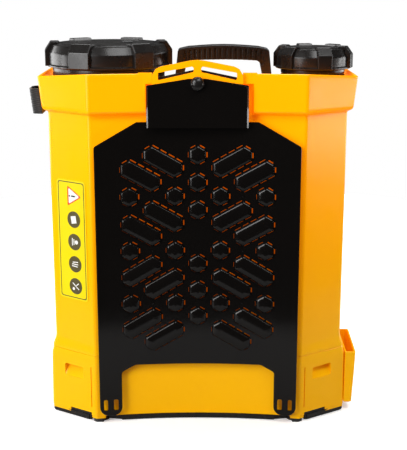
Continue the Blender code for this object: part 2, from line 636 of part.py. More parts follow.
def make_panel(black, grey, lens, red, rubber, brass):
    """The control panel on the rear, with the switch, charge gauge, speed dial and charging socket."""
    low, high = PANEL_MID_Z - PANEL_HALF_HIGH, PANEL_MID_Z + PANEL_HALF_HIGH
    c = 8.0
    outline = [(PANEL_X[0] + c, low), (PANEL_X[1] - c, low), (PANEL_X[1], low + c), (PANEL_X[1], high - c),
               (PANEL_X[1] - c, high), (PANEL_X[0] + c, high), (PANEL_X[0], high - c), (PANEL_X[0], low + c)]
    panel = add("control_panel", prism(outline, PANEL_Y, PANEL_FACE_Y, "Y"), black)
    carve(panel,
          box((SWITCH_X - 7.3, PANEL_Y - 5, PANEL_MID_Z - 10.8), (SWITCH_X + 7.3, PANEL_FACE_Y + 5, PANEL_MID_Z + 10.8)),
          box((GAUGE_X - 12.3, PANEL_Y - 5, PANEL_MID_Z - 8.3), (GAUGE_X + 12.3, PANEL_FACE_Y + 5, PANEL_MID_Z + 8.3)),
          rod(DIAL_X, PANEL_Y - 5, PANEL_MID_Z, 4.0, 15, "Y"),
          rod(SOCKET_X, PANEL_Y - 5, PANEL_MID_Z, 6.0, 15, "Y"))
    make_switch(black, red)
    gauge = add("charge_gauge", box((GAUGE_X - 12, PANEL_Y - 9, PANEL_MID_Z - 8),
                                    (GAUGE_X + 12, PANEL_FACE_Y + GAP, PANEL_MID_Z + 8)), lens)
    fuse(gauge, box((GAUGE_X - 15, PANEL_FACE_Y + GAP, PANEL_MID_Z - 11), (GAUGE_X + 15, PANEL_FACE_Y + 2.3, PANEL_MID_Z + 11)))
    make_speed_dial(black, grey)
    make_charging_socket(grey, rubber)
    hex_y = REAR_Y + BASE_REAR
    outlet = add("hose_outlet", turned([
        (3.2, -14), (7.8, -14), (7.8, hex_y + GAP - REAR_Y), (10.5, hex_y + GAP - REAR_Y), (10.5, 7.5), (7.0, 7.5),
        (7.0, 15.0), (3.2, 15.0)], (PORT_X, REAR_Y, PUMP_Z), "Y", steps=20), brass)
    return panel, outlet


def make_switch(black, red):
    """A rocker in its frame. It tips about an axis along X, just behind the frame's face."""
    x0, x1 = SWITCH_X - 7, SWITCH_X + 7
    z0, z1 = PANEL_MID_Z - 10.5, PANEL_MID_Z + 10.5
    frame = add("switch_frame", box((x0, PANEL_Y - 12, z0), (x1, PANEL_FACE_Y + GAP + 0.2, z1)), black)
    fuse(frame, box((x0 - 2.5, PANEL_FACE_Y + GAP, z0 - 2.5), (x1 + 2.5, PANEL_FACE_Y + 2.3, z1 + 2.5)))
    carve(frame, box((x0 + 1.6, PANEL_Y - 8, z0 + 1.6), (x1 - 1.6, PANEL_FACE_Y + 10, z1 - 1.6)))
    axis_y = PANEL_FACE_Y - 1.0
    profile = [(axis_y - 3.5, -3.5), (axis_y - 3.5, 3.5), (axis_y + 1.0, 7.6), (axis_y + 5.3, 7.0),
               (axis_y + 3.6, 0.0), (axis_y + 5.3, -7.0), (axis_y + 1.0, -7.6)]
    rocker = prism([(y, PANEL_MID_Z + z) for y, z in profile], x0 + 2.0, x1 - 2.0, "X")
    add("rocker_switch", rocker, red, (SWITCH_X, axis_y, PANEL_MID_Z))
    return frame


def make_speed_dial(black, grey):
    """The dial that sets the pump's speed, on its potentiometer behind the panel."""
    face = PANEL_FACE_Y + GAP
    pot = add("dial_potentiometer", turned([
        (0, PANEL_Y - 12), (9, PANEL_Y - 12), (9, PANEL_Y - GAP), (3.6, PANEL_Y - GAP), (3.6, face - 0.2),
        (0, face - 0.2)], (DIAL_X, 0, PANEL_MID_Z), "Y", steps=14), grey)
    dial = add("speed_dial", turned([
        (0, face), (13, face), (13, face + 2.0), (10.5, face + 3.0), (9.5, 113.5), (8.7, 114.0), (0, 114.0)],
        (DIAL_X, 0, PANEL_MID_Z), "Y", steps=24), black, (DIAL_X, face, PANEL_MID_Z))
    fuse(dial, box((DIAL_X - 1.0, face + 1, PANEL_MID_Z + 8), (DIAL_X + 1.0, face + 5, PANEL_MID_Z + 12.6)))
    return pot, dial


def make_charging_socket(grey, rubber):
    """The round charging socket, and the rubber cover that folds up off it about its top edge."""
    face = PANEL_FACE_Y + GAP
    socket = add("charging_socket", turned([
        (3.0, PANEL_Y - 10), (5.7, PANEL_Y - 10), (5.7, face), (8.5, face), (8.5, face + 1.6), (3.0, face + 1.6)],
        (SOCKET_X, 0, PANEL_MID_Z), "Y", steps=18), grey)
    low = face + 1.6 + GAP
    hinge_z = PANEL_MID_Z + 14.0
    cover = add("socket_cover", prism(circle(SOCKET_X, PANEL_MID_Z, 10.0, steps=18), low, low + 2.2, "Y"),
                rubber, (SOCKET_X, low + 1.1, hinge_z))
    fuse(cover, box((SOCKET_X - 4.5, low, PANEL_MID_Z + 5), (SOCKET_X + 4.5, low + 2.2, hinge_z)),
         rod(SOCKET_X - 4.5, low + 1.1, hinge_z, 1.4, 9.0, "X", steps=16),
         rod(SOCKET_X, low + 0.5, PANEL_MID_Z, 2.2, -2.3, "Y", steps=12))
    anchor = add("cover_anchor", box((SOCKET_X - 8, face, hinge_z - 2.0), (SOCKET_X + 8, low + 2.0, hinge_z + 3.2)), rubber)
    carve(anchor, box((SOCKET_X - 4.9, face - 1, hinge_z - 5), (SOCKET_X + 4.9, low + 5, hinge_z + 5)))
    fuse(anchor, box((SOCKET_X - 8, face, hinge_z + 1.7), (SOCKET_X + 8, face + 1.2, hinge_z + 3.2)))
    return socket, cover


def make_battery(grey, steel):
    battery = add("battery_pack", box(BATTERY_LOW, BATTERY_HIGH), grey)
    x0 = (BATTERY_LOW[0] + BATTERY_HIGH[0]) / 2 - 10
    y0, y1, z1 = BATTERY_LOW[1] - GAP, BATTERY_HIGH[1] + GAP, BATTERY_HIGH[2] + GAP
    z0 = BASE_BOTTOM_Z + GAP
    strap = [(y0 - 12, z0), (y0, z0), (y0, z1), (y1, z1), (y1, z0), (y1 + 12, z0), (y1 + 12, z0 + 1.5),
             (y1 + 1.5, z0 + 1.5), (y1 + 1.5, z1 + 1.5), (y0 - 1.5, z1 + 1.5), (y0 - 1.5, z0 + 1.5), (y0 - 12, z0 + 1.5)]
    add("battery_strap", prism(strap, x0, x0 + 20, "X"), steel)
    return battery


def make_pump(black, steel, grey):
    """A diaphragm pump: a motor, a head with two ports, the shaft with its eccentric, and a pressure switch."""
    motor = add("pump_motor", rod(MOTOR_X[0], PUMP_Y, PUMP_Z, MOTOR_RADIUS, MOTOR_X[1] - MOTOR_X[0], "X", 20), steel)
    carve(motor, rod(MOTOR_X[0] + 6, PUMP_Y, PUMP_Z, 8.0, 90, "X"))
    head = add("pump_head", box((HEAD_X[0], PUMP_Y - 30, PUMP_Z - 24), (HEAD_X[1], PUMP_Y + 30, PUMP_Z + 24)), black)
    fuse(head, *[box((HEAD_X[0] + 10, PUMP_Y + s * 30 - 9, BASE_BOTTOM_Z + GAP),
                     (HEAD_X[0] + 34, PUMP_Y + s * 30 + 9, PUMP_Z - 20)) for s in (-1, 1)],
         rod(PORT_X, PUMP_Y - 29, PUMP_Z, 6.0, -16, "Y"), rod(PORT_X, PUMP_Y + 29, PUMP_Z, 6.0, 16, "Y"))
    carve(head, rod(HEAD_X[0] - 2, PUMP_Y, PUMP_Z, 15.0, 34, "X"),
          rod(PORT_X, PUMP_Y - 60, PUMP_Z, 3.2, 120, "Y", 16))
    shaft = add("pump_shaft", rod(MOTOR_X[0] + 8, PUMP_Y, PUMP_Z, 4.0, 72, "X", 12), steel,
                (MOTOR_X[1], PUMP_Y, PUMP_Z))
    fuse(shaft, rod(MOTOR_X[0] + 12, PUMP_Y, PUMP_Z, 7.0, 36, "X", 14),
         rod(HEAD_X[0] + 6, PUMP_Y + 3, PUMP_Z, 9.0, 10, "X", 16))
    add("pressure_switch", box((HEAD_X[1] + GAP, PUMP_Y - 12, PUMP_Z - 8), (HEAD_X[1] + 16, PUMP_Y + 12, PUMP_Z + 12)), grey)
    return head, motor


def make_plumbing(rubber, grey):
    """The tank's outlet with its nut, and the two hoses: tank to pump, and pump to the outlet at the rear."""
    x, y = SUMP
    under = SEAM_Z - 6.0
    outlet = add("tank_outlet", turned([
        (4.0, under - 14), (6.2, under - 14), (6.2, under - 2), (10.5, under - 2), (10.5, FLOOR_Z + GAP),
        (16.0, FLOOR_Z + GAP), (16.0, FLOOR_Z + 2.5), (4.0, FLOOR_Z + 2.5)], (x, y, 0), steps=16), grey)
    add("outlet_strainer", turned([
        (0, FLOOR_Z + 22), (9, FLOOR_Z + 22), (12, FLOOR_Z + 18), (12, FLOOR_Z + 2.8), (10.4, FLOOR_Z + 2.8),
        (10.4, FLOOR_Z + 17), (8.4, FLOOR_Z + 20.4), (0, FLOOR_Z + 20.4)], (x, y, 0), steps=16), grey)
    low, high = PUMP_Y - 45 - 4 * GAP, PUMP_Y + 45 + 2 * GAP
    hose("suction_hose", [(x, y, under - 14 - 4 * GAP), (x, y, under - 29), (x + 14, y + 6, 40), (x + 40, y - 4, 28),
                          (30, 54, 24), (50, 50, 22), (46, 20, 15.6), (46, -30, 17), (72, -60, 26),
                          (PORT_X - 2, low - 15, PUMP_Z - 5), (PORT_X, low - 7, PUMP_Z), (PORT_X, low, PUMP_Z)], 5.5, rubber)
    hose("delivery_hose", [(PORT_X, high, PUMP_Z), (PORT_X, (high + REAR_Y - 14) / 2, PUMP_Z),
                           (PORT_X, REAR_Y - 14 - 2 * GAP, PUMP_Z)], 5.5, rubber)
    return outlet


def main():
    clear_scene()
    yellow = finish("yellow_plastic", (0.98, 0.52, 0.01), 0.3)
    gloss_black = finish("gloss_black_plastic", (0.012, 0.011, 0.010), 0.18)
    satin_black = finish("satin_black_plastic", (0.022, 0.021, 0.020), 0.42)
    rubber = finish("black_rubber", (0.018, 0.018, 0.018), 0.75)
    steel = finish("steel", (0.60, 0.60, 0.61), 0.35, 1.0)
    brass = finish("brass", (0.72, 0.52, 0.22), 0.3, 1.0)
    white = finish("white_plastic", (0.80, 0.79, 0.75), 0.45)
    grey = finish("grey_plastic", (0.22, 0.23, 0.24), 0.5)
    red = finish("red_plastic", (0.55, 0.03, 0.02), 0.35)
    lens = finish("clear_lens", (0.05, 0.07, 0.08), 0.1)
    webbing = finish("black_webbing", (0.02, 0.02, 0.02), 0.9)
    film = finish("label_film", (1.0, 0.82, 0.02), 0.35)

    make_tank(yellow)
    make_neck_ring("filler_neck_ring", BIG_X, BIG, satin_black)
    make_neck_ring("small_neck_ring", SMALL_X, SMALL, satin_black)
    make_strainer(white)
    make_liner("filler_cap_liner", BIG_X, BIG, rubber)
    make_cap("filler_cap", BIG_X, BIG, satin_black)
    make_vent(rubber)
    make_liner("small_cap_liner", SMALL_X, SMALL, rubber)
    make_cap("small_cap", SMALL_X, SMALL, satin_black)
    make_handle(satin_black, steel)
    make_back_plate(gloss_black)
    make_strap_bracket(yellow)
    make_plate_knob(satin_black)
    make_hose_loop(webbing)
    make_label(film)
    make_base_housing(yellow)
    make_bottom_plate(satin_black)
    make_feet(rubber)
    make_bottom_screws(steel)
    make_lance_cup(yellow)
    make_panel(satin_black, grey, lens, red, rubber, brass)
    make_battery(grey, steel)
    make_pump(satin_black, steel, grey)
    make_plumbing(rubber, grey)


main()
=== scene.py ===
"""Looks of a two-mouth battery knapsack sprayer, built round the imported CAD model.

Shapes are made in millimetres in the CAD model's frame: -Y is the wearer's side, +Z is up. Each is
turned into metres where its object is made.
"""

import json
import math
from types import SimpleNamespace

import bmesh
import bpy
from mathutils import Matrix, Vector


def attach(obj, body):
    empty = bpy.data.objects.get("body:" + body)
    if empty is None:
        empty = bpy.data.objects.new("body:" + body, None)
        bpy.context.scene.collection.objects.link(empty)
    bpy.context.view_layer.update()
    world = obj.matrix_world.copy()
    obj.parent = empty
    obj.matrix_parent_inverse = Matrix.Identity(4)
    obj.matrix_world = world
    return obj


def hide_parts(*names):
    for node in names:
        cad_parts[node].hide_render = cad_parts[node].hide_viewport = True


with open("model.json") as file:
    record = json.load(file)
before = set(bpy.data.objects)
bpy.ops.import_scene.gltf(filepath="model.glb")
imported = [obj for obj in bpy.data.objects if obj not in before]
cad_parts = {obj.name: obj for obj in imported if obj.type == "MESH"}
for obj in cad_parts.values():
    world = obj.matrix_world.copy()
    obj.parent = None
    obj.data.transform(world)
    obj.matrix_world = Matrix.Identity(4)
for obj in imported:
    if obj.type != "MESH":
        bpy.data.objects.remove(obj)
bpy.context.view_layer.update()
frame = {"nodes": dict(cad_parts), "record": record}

MM = 0.001  # one millimetre in metres

# ---------------- camera

camera = bpy.data.objects.new("camera", bpy.data.cameras.new("camera"))
camera.data.sensor_width = 36.0
camera.data.lens = 81.3
camera.data.clip_start = 0.05
camera.location = (0.007, -1.289, 0.554)
camera.rotation_euler = (math.radians(76.0), 0.0, 0.0)
bpy.context.scene.collection.objects.link(camera)
bpy.context.scene.camera = camera

# ---------------- the CAD model's driving sizes, in mm

BODY_HALF, FRONT_Y, REAR_Y, HOLLOW = 181.5, -100.0, 98.0, 12.0
FOLD_X, CORNER_FRONT_Y, CORNER_REAR_Y, REAR_FOLD_X = 128.0, -62.0, 64.0, 146.0
SEAM_Z, DECK_Z, CEILING_Z, FLOOR_Z = 88.6, 402.0, 398.0, 92.6
RIM_Z = (438.6, 432.5, 409.0)  # front, flank, rear
RIM_BOTTOM_Z, RIM_REACH, RIM_FLARE = 391.5, 6.8, 4.7
LOOP_LOW_Z, LOOP_TALL = 386.3, 30.4
# Each mouth and its cap: radii and heights, the lugs' turn in degrees and the thread's pitch.
BIG = SimpleNamespace(x=-112.0, neck=64.5, collar=70.0, bore=57.0, neck_top=459.0, skirt_in=67.0, skirt_out=75.0,
                      lug_out=79.0, bottom=440.0, shoulder=458.0, under=463.9, lid=467.0, lug_top=470.5,
                      lug_width=27.0, turn=38.0, pitch=6.0)
SMALL = SimpleNamespace(x=144.4, neck=37.0, collar=40.0, bore=31.0, neck_top=456.0, skirt_in=39.5, skirt_out=45.6,
                        lug_out=49.0, bottom=437.0, shoulder=453.0, under=458.6, lid=461.5, lug_top=464.5,
                        lug_width=18.0, turn=12.0, pitch=5.0)
CORNER_LONG = math.hypot(BODY_HALF - FOLD_X, CORNER_FRONT_Y - FRONT_Y)
COLLAR_TOP_Z = 435.0
SUMP = (-62.0, 62.0)
PLATE_Y, PLATE_THICK, PLATE_HALF = -108.0, 3.0, 122.7
TAB_Y = -106.0
KNOB_Z, KNOB_BORE = 428.0, 3.4
HANDLE_X, HANDLE_TOP_Z, GRIP_HALF, FOOT_HALF, ARM_WIDTH = 31.9, 466.4, 56.3, 63.0, 9.5
GRIP_THICK, GRIP_CROWN, HANDLE_DEPTH = 19.5, 4.5, 27.0
HANDLE_SCREW_X = [(side, HANDLE_X + side * (FOOT_HALF - ARM_WIDTH - 7.0)) for side in (-1, 1)]
PAD_ROW, PAD_MID_Z, PAD_WIDE, PAD_STEP = 67.2, 225.0, 22.6, 26.4
BASE_TOP_Z, BASE_BOTTOM_Z, BASE_GROWN = 88.3, 8.0, 7.0
FOOT_PLACES = [(x, y) for x in (-121.0, 121.0) for y in (-87.0, 82.0)]
BOTTOM_SCREW_PLACES = [(x, y) for x in (-168.0, 168.0) for y in (-38.0, 50.0)]
PANEL_Y, PANEL_FACE_Y, PANEL_MID_Z = 101.3, 104.3, 48.0
PANEL_X = (-62.0, 87.0)
PANEL_Z = (PANEL_MID_Z - 24, PANEL_MID_Z + 24)
SWITCH_X, GAUGE_X, DIAL_X, SOCKET_X = -40.0, 0.0, 40.0, 74.0
OUTLET_X, OUTLET_Z = 102.0, 42.0
SIDES = ((-1, "left"), (1, "right"))


# ---------------- materials

def new_material(name):
    made = bpy.data.materials.new(name)
    made.use_nodes = True
    tree = made.node_tree
    return made, tree, tree.nodes["Principled BSDF"]


def add_node(tree, kind, **inputs):
    """A shader node whose inputs are set to values or linked to sockets. From_Min stands for From Min."""
    node = tree.nodes.new("ShaderNode" + kind)
    for name, value in inputs.items():
        socket = node.inputs[name.replace("_", " ")]
        if isinstance(value, bpy.types.NodeSocket):
            tree.links.new(value, socket)
        else:
            socket.default_value = value
    return node


def noise(tree, scale, detail=3.0, stretch=None):
    coords = add_node(tree, "TexCoord").outputs["Object"]
    if stretch:
        coords = add_node(tree, "Mapping", Vector=coords, Scale=stretch).outputs["Vector"]
    return add_node(tree, "TexNoise", Vector=coords, Scale=scale, Detail=detail).outputs["Fac"]


def spread(tree, value, low, high, start=0.3, end=0.7):
    """Maps a noise's useful range onto low to high."""
    return add_node(tree, "MapRange", Value=value, From_Min=start, From_Max=end, To_Min=low,
                    To_Max=high).outputs["Result"]


def mixed(tree, factor, first, second):
    node = tree.nodes.new("ShaderNodeMix")
    node.data_type = "RGBA"
    for socket, colour in ((node.inputs[6], first), (node.inputs[7], second)):
        if isinstance(colour, tuple):
            socket.default_value = (*colour, 1.0)
        else:
            tree.links.new(colour, socket)
    tree.links.new(factor, node.inputs[0])
    return node.outputs[2]


def product(tree, first, second):
    node = tree.nodes.new("ShaderNodeMath")
    node.operation = "MULTIPLY"
    tree.links.new(first, node.inputs[0])
    if isinstance(second, float):
        node.inputs[1].default_value = second
    else:
        tree.links.new(second, node.inputs[1])
    return node.outputs[0]


def bump(tree, shader, height, distance):
    node = add_node(tree, "Bump", Height=height, Distance=distance)
    tree.links.new(node.outputs["Normal"], shader.inputs["Normal"])


def plastic(name, colour, roughness, shade=0.9, grain=1200.0, depth=0.00004, swirl=9.0, metallic=0.0,
            stretch=None, speck=0.0, specular=0.5):
    """Moulded plastic or plain metal: slow shifts of colour and gloss, a fine surface grain and faint marks."""
    made, tree, shader = new_material(name)
    slow = noise(tree, swirl, 4.0)
    dark = tuple(c * shade for c in colour)
    base = mixed(tree, spread(tree, slow, 0.0, 1.0), dark, colour)
    if speck:
        marks = spread(tree, noise(tree, 260.0, 6.0), 0.0, speck, 0.62, 0.74)
        base = mixed(tree, marks, base, tuple(min(1.0, c * 1.6 + 0.05) for c in colour))
    tree.links.new(base, shader.inputs["Base Color"])
    worn = noise(tree, 55.0, 5.0, stretch)
    tree.links.new(spread(tree, worn, roughness * 0.85, roughness * 1.2), shader.inputs["Roughness"])
    shader.inputs["Metallic"].default_value = metallic
    shader.inputs["Specular IOR Level"].default_value = specular
    bump(tree, shader, noise(tree, grain, 2.0, stretch), depth)
    return made


def polythene(name, colour, roughness):
    """Thick yellow polythene with a painted glow: an orange emission, weak at the bottom and strong near the top,
    lights it where no light falls on it directly.
    """
    made = plastic(name, colour, roughness, shade=0.97, depth=0.00002, swirl=6.0, specular=0.17)
    tree = made.node_tree
    shader = tree.nodes["Principled BSDF"]
    # Painted glow: a deep orange emission whose strength rises with height, from 0.10 at the bottom to 0.62 near the
    # top. It lights the shaded places and makes the top read brighter.
    place = add_node(tree, "SeparateXYZ", Vector=add_node(tree, "TexCoord").outputs["Object"])
    shader.inputs["Emission Color"].default_value = (1.0, 0.14, 0.0, 1.0)
    tree.links.new(spread(tree, place.outputs["Z"], 0.10, 0.62, 0.08, 0.42), shader.inputs["Emission Strength"])
    return made


def webbing(name):
    """Woven nylon: crossed waves give the weave, with a soft sheen."""
    made, tree, shader = new_material(name)
    coords = add_node(tree, "TexCoord").outputs["Object"]
    waves = []
    for turn in (45, -45):
        mapping = add_node(tree, "Mapping", Vector=coords, Rotation=(math.radians(turn), 0, 0))
        wave = add_node(tree, "TexWave", Vector=mapping.outputs["Vector"], Scale=170.0)
        wave.bands_direction = "Z"
        waves.append(wave.outputs["Fac"])
    both = product(tree, *waves)
    tree.links.new(mixed(tree, both, (0.008, 0.008, 0.008), (0.05, 0.05, 0.05)), shader.inputs["Base Color"])
    shader.inputs["Roughness"].default_value = 0.8
    shader.inputs["Sheen Weight"].default_value = 0.3
    bump(tree, shader, both, 0.0006)
    return made


YELLOW = (0.90, 0.47, 0.0004)
looks = {
    # Yellow plastic with a painted orange glow that lights its shaded places, stronger towards the top.
    "yellow_body": polythene("yellow_plastic", YELLOW, 0.21),
    "gloss_black": plastic("gloss_black_plastic", (0.0040, 0.0032, 0.0028), 0.13, shade=0.8, depth=0.000015,
                           specular=0.3),
    "satin_black": plastic("satin_black_plastic", (0.0095, 0.0082, 0.0075), 0.27, shade=0.8, depth=0.00004,
                           specular=0.4),
    "rubber": plastic("black_rubber", (0.016, 0.016, 0.016), 0.7, shade=0.75, depth=0.00012, speck=0.05),
    "steel": plastic("zinc_steel", (0.62, 0.62, 0.63), 0.32, shade=0.85, metallic=1.0, stretch=(1, 1, 8)),
    "white_plastic": plastic("white_plastic", (0.80, 0.79, 0.75), 0.42, shade=0.94),
    "grey_plastic": plastic("grey_plastic", (0.20, 0.21, 0.22), 0.45, shade=0.85, depth=0.00008),
    "red_plastic": plastic("red_plastic", (0.55, 0.02, 0.012), 0.3, shade=0.9),
    "lens": plastic("dark_lens", (0.010, 0.014, 0.016), 0.06, shade=0.8, depth=0.000004),
    "brass": plastic("brass", (0.75, 0.53, 0.22), 0.26, shade=0.85, metallic=1.0, stretch=(8, 1, 8)),
    "webbing": webbing("black_webbing"),
    "label_film": plastic("label_film", (0.84, 0.66, 0.002), 0.35, shade=0.98, depth=0.00001, specular=0.2),
}
print_dark = plastic("print_black", (0.015, 0.014, 0.013), 0.35, shade=0.8)
print_white = plastic("print_white", (0.85, 0.84, 0.80), 0.35, shade=0.95)
print_red = plastic("print_red", (0.75, 0.10, 0.012), 0.35, shade=0.9)
print_disc = plastic("print_brown", (0.085, 0.065, 0.012), 0.4, shade=0.85)
print_green = plastic("print_green", (0.03, 0.45, 0.08), 0.3, shade=0.85)

SLOTS = {part["node"]: part["material_slot"] for part in frame["record"]["subparts"]}
for node, obj in frame["nodes"].items():
    obj.data.materials.clear()
    obj.data.materials.append(looks[SLOTS[node]])
    obj.data.shade_smooth()
    obj.data.set_sharp_from_angle(angle=math.radians(35))


# ---------------- mesh helpers, all in mm

def fillet(corners, steps=6):
    """A closed outline from (x, y, radius) corners, each turned into an arc where its radius isn't 0."""
    out = []
    for i, (x, y, radius) in enumerate(corners):
        if radius <= 0:
            out.append((x, y))
            continue
        corner = Vector((x, y))
        before = (Vector(corners[i - 1][:2]) - corner).normalized()
        after = (Vector(corners[(i + 1) % len(corners)][:2]) - corner).normalized()
        half = before.angle(after) / 2
        centre = corner + (before + after).normalized() * (radius / math.sin(half))
        start = corner + before * (radius / math.tan(half)) - centre
        end = corner + after * (radius / math.tan(half)) - centre
        sweep = start.angle_signed(end)
        for k in range(steps + 1):
            turned_by = start.copy()
            turned_by.rotate(Matrix.Rotation(-sweep * k / steps, 2))
            out.append(tuple(centre + turned_by))
    return out


def mirrored(half):
    """A whole outline from its right half, listed from the middle bottom to the middle top."""
    return half + [(-x, y, r) for x, y, r in reversed(half) if abs(x) > 1e-6]


def rounded(low, high, radius, steps=6):
    """A rectangle's outline with rounded corners, from two opposite corners."""
    (x0, y0), (x1, y1) = low, high
    return fillet([(x0, y0, radius), (x1, y0, radius), (x1, y1, radius), (x0, y1, radius)], steps)


def add_ring(bm, ring):
    return [bm.verts.new(point) for point in ring]


def bridge(bm, *rings):
    """Faces between each ring of vertices and the next."""
    for low, high in zip(rings, rings[1:]):
        for i in range(len(low)):
            j = (i + 1) % len(low)
            bm.faces.new((low[i], low[j], high[j], high[i]))


def loft(rings):
    bm = bmesh.new()
    rows = [add_ring(bm, ring) for ring in rings]
    bridge(bm, *rows)
    for row in (rows[0], rows[-1]):
        bm.faces.new(row)
    return bm


def prism(outline, low, high, axis="Z"):
    """An outline pushed along an axis. Its points are (x, y) along Z and (x, z) along Y."""
    return loft([[(a, b, level) if axis == "Z" else (a, level, b) for a, b in outline] for level in (low, high)])


def box(low, high):
    (x0, y0, z0), (x1, y1, z1) = low, high
    return prism([(x0, y0), (x1, y0), (x1, y1), (x0, y1)], z0, z1)


def circle(x, y, radius, steps=48, start=0.0):
    turns = [math.radians(start + 360.0 * i / steps) for i in range(steps)]
    return [(x + radius * math.cos(t), y + radius * math.sin(t)) for t in turns]


def plus(x, y, reach, half):
    """The outline of a cross recess in a screw's head."""
    corner = [(reach, -half), (reach, half), (half, half)]
    quarters = ((1, 0), (0, 1), (-1, 0), (0, -1))
    return [(x + a * c - b * s, y + a * s + b * c) for c, s in quarters for a, b in corner]


def turned(profile, place, axis="Z", steps=64):
    """A closed outline of (radius, height) points, spun about the Z or Y axis through a place."""
    bm = bmesh.new()
    turns = [2 * math.pi * i / steps for i in range(steps)]
    rows = []
    for radius, height in profile:
        if radius < 1e-6:
            rows.append([bm.verts.new((0, 0, height))] * steps)
        else:
            rows.append([bm.verts.new((radius * math.cos(t), radius * math.sin(t), height)) for t in turns])
    for i, row in enumerate(rows):
        after = rows[(i + 1) % len(rows)]
        for k in range(steps):
            n = (k + 1) % steps
            corners = list(dict.fromkeys((row[k], row[n], after[n], after[k])))
            if len(corners) > 2:
                bm.faces.new(corners)
    lay = Matrix.Rotation(-math.pi / 2, 4, "X") if axis == "Y" else Matrix()
    bm.transform(Matrix.Translation(Vector(place)) @ lay)
    return bm


def soften(bm, width, segments=3, angle=25.0, pick=None):
    """Rounds the edges whose faces meet at more than an angle, all of them or those that pick accepts."""
    bmesh.ops.recalc_face_normals(bm, faces=bm.faces)
    sharp = [e for e in bm.edges if len(e.link_faces) == 2
             and e.calc_face_angle(0.0) > math.radians(angle) and (pick is None or pick(e))]
    bmesh.ops.bevel(bm, geom=sharp, offset=width, segments=segments, profile=0.5, affect="EDGES",
                    clamp_overlap=True)
    return bm


def join(*meshes):
    """Several closed shapes in one mesh."""
    whole = meshes[0]
    for other in meshes[1:]:
        scratch = bpy.data.meshes.new("scratch")
        other.to_mesh(scratch)
        other.free()
        whole.from_mesh(scratch)
        bpy.data.meshes.remove(scratch)
    return whole


def new_object(name, bm):
    bmesh.ops.recalc_face_normals(bm, faces=bm.faces)
    mesh = bpy.data.meshes.new(name)
    bm.to_mesh(mesh)
    bm.free()
    obj = bpy.data.objects.new(name, mesh)
    bpy.context.scene.collection.objects.link(obj)
    return obj


def combine(bm, other, operation):
    """The union or the difference of two closed meshes."""
    first, second = new_object("scratch", bm), new_object("scratch", other)
    modifier = first.modifiers.new("combine", "BOOLEAN")
    modifier.operation = operation
    modifier.solver = "MANIFOLD"
    modifier.object = second
    result = bmesh.new()
    result.from_mesh(first.evaluated_get(bpy.context.evaluated_depsgraph_get()).data)
    for obj in (first, second):
        mesh = obj.data
        bpy.data.objects.remove(obj)
        bpy.data.meshes.remove(mesh)
    return result


def cut(bm, other):
    return combine(bm, other, "DIFFERENCE")


def fuse(bm, other):
    return combine(bm, other, "UNION")


def piece(name, bm, look, body="tank", stands_for=(), material=None, smooth=32.0, even=True):
    """An object that rides on a body, in the finish of a material slot or in a print colour."""
    bm.transform(Matrix.Scale(MM, 4))
    obj = new_object(name, bm)
    obj.data.shade_smooth()
    obj.data.set_sharp_from_angle(angle=math.radians(smooth))
    obj.data.materials.append(material or looks[look])
    if even:
        weighted = obj.modifiers.new("even shading", "WEIGHTED_NORMAL")
        weighted.keep_sharp = True
    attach(obj, body)
    if stands_for:
        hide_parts(*stands_for)
    return obj


def stand_in(node, bm, body="tank", smooth=32.0):
    """The finer piece that replaces one CAD node, in that node's own finish."""
    piece(node + "_fine", bm, SLOTS[node], body, (node,), smooth=smooth)


def refined(node, width, segments, angle, body):
    """A CAD node's own shape with its flat faces merged and its edges rounded."""
    bm = bmesh.new()
    bm.from_mesh(frame["nodes"][node].data)
    bm.transform(Matrix.Scale(1 / MM, 4))
    bmesh.ops.remove_doubles(bm, verts=bm.verts, dist=0.002)
    bmesh.ops.dissolve_limit(bm, angle_limit=math.radians(0.8), verts=bm.verts, edges=bm.edges)
    soften(bm, width, segments, angle)
    stand_in(node, bm, body)


# ---------------- plan of the tank and the base

def hollow_y(x, edge_y, half=FOLD_X):
    return edge_y + HOLLOW * (1 - (x / half) ** 2)


def plan(heights, side=0.0, front=0.0, rear=0.0, radius=7.0):
    """A ring round the tank. heights is one height, or the front's, the flank's and the rear's."""
    half, front_y, rear_y = BODY_HALF + side, FRONT_Y - front, REAR_Y + rear
    corner_y = CORNER_FRONT_Y - front / 4
    hollow = []
    spans = 22
    for i in range(spans + 1):
        x = (FOLD_X - 9) * (2 * i / spans - 1)
        hollow.append((x, hollow_y(x, front_y), 0))
    fold = (FOLD_X, front_y, radius)
    flank = [(half, corner_y, radius), (half, CORNER_REAR_Y, radius), (REAR_FOLD_X, rear_y, radius)]
    corners = [(-fold[0], fold[1], radius), *hollow, fold, *flank, *[(-x, y, r) for x, y, r in reversed(flank)]]
    front_z, flank_z, rear_z = heights if isinstance(heights, tuple) else (heights,) * 3

    def height(x, y):
        if y < corner_y and abs(x) > FOLD_X:
            return front_z + (flank_z - front_z) * (abs(x) - FOLD_X) / (half - FOLD_X)
        if y < corner_y:
            return front_z
        if y > CORNER_REAR_Y:
            return flank_z + (rear_z - flank_z) * (y - CORNER_REAR_Y) / (rear_y - CORNER_REAR_Y)
        return flank_z
    return [(x, y, height(x, y)) for x, y in fillet(corners)]


def sheet_with_holes(bm, *loops):
    """A flat face between closed loops of vertices: the first is the outside, the others are holes."""
    edges = [bm.edges.get((loop[i - 1], loop[i])) or bm.edges.new((loop[i - 1], loop[i]))
             for loop in loops for i in range(len(loop))]
    bmesh.ops.triangle_fill(bm, use_beauty=True, edges=edges, normal=(0, 0, 1))


# ---------------- tank

def rim_levels(share):
    """Heights at a share of the way up the rim, which ends lower at the flanks and the rear."""
    return tuple(RIM_BOTTOM_Z + (top - RIM_BOTTOM_Z) * share for top in RIM_Z)


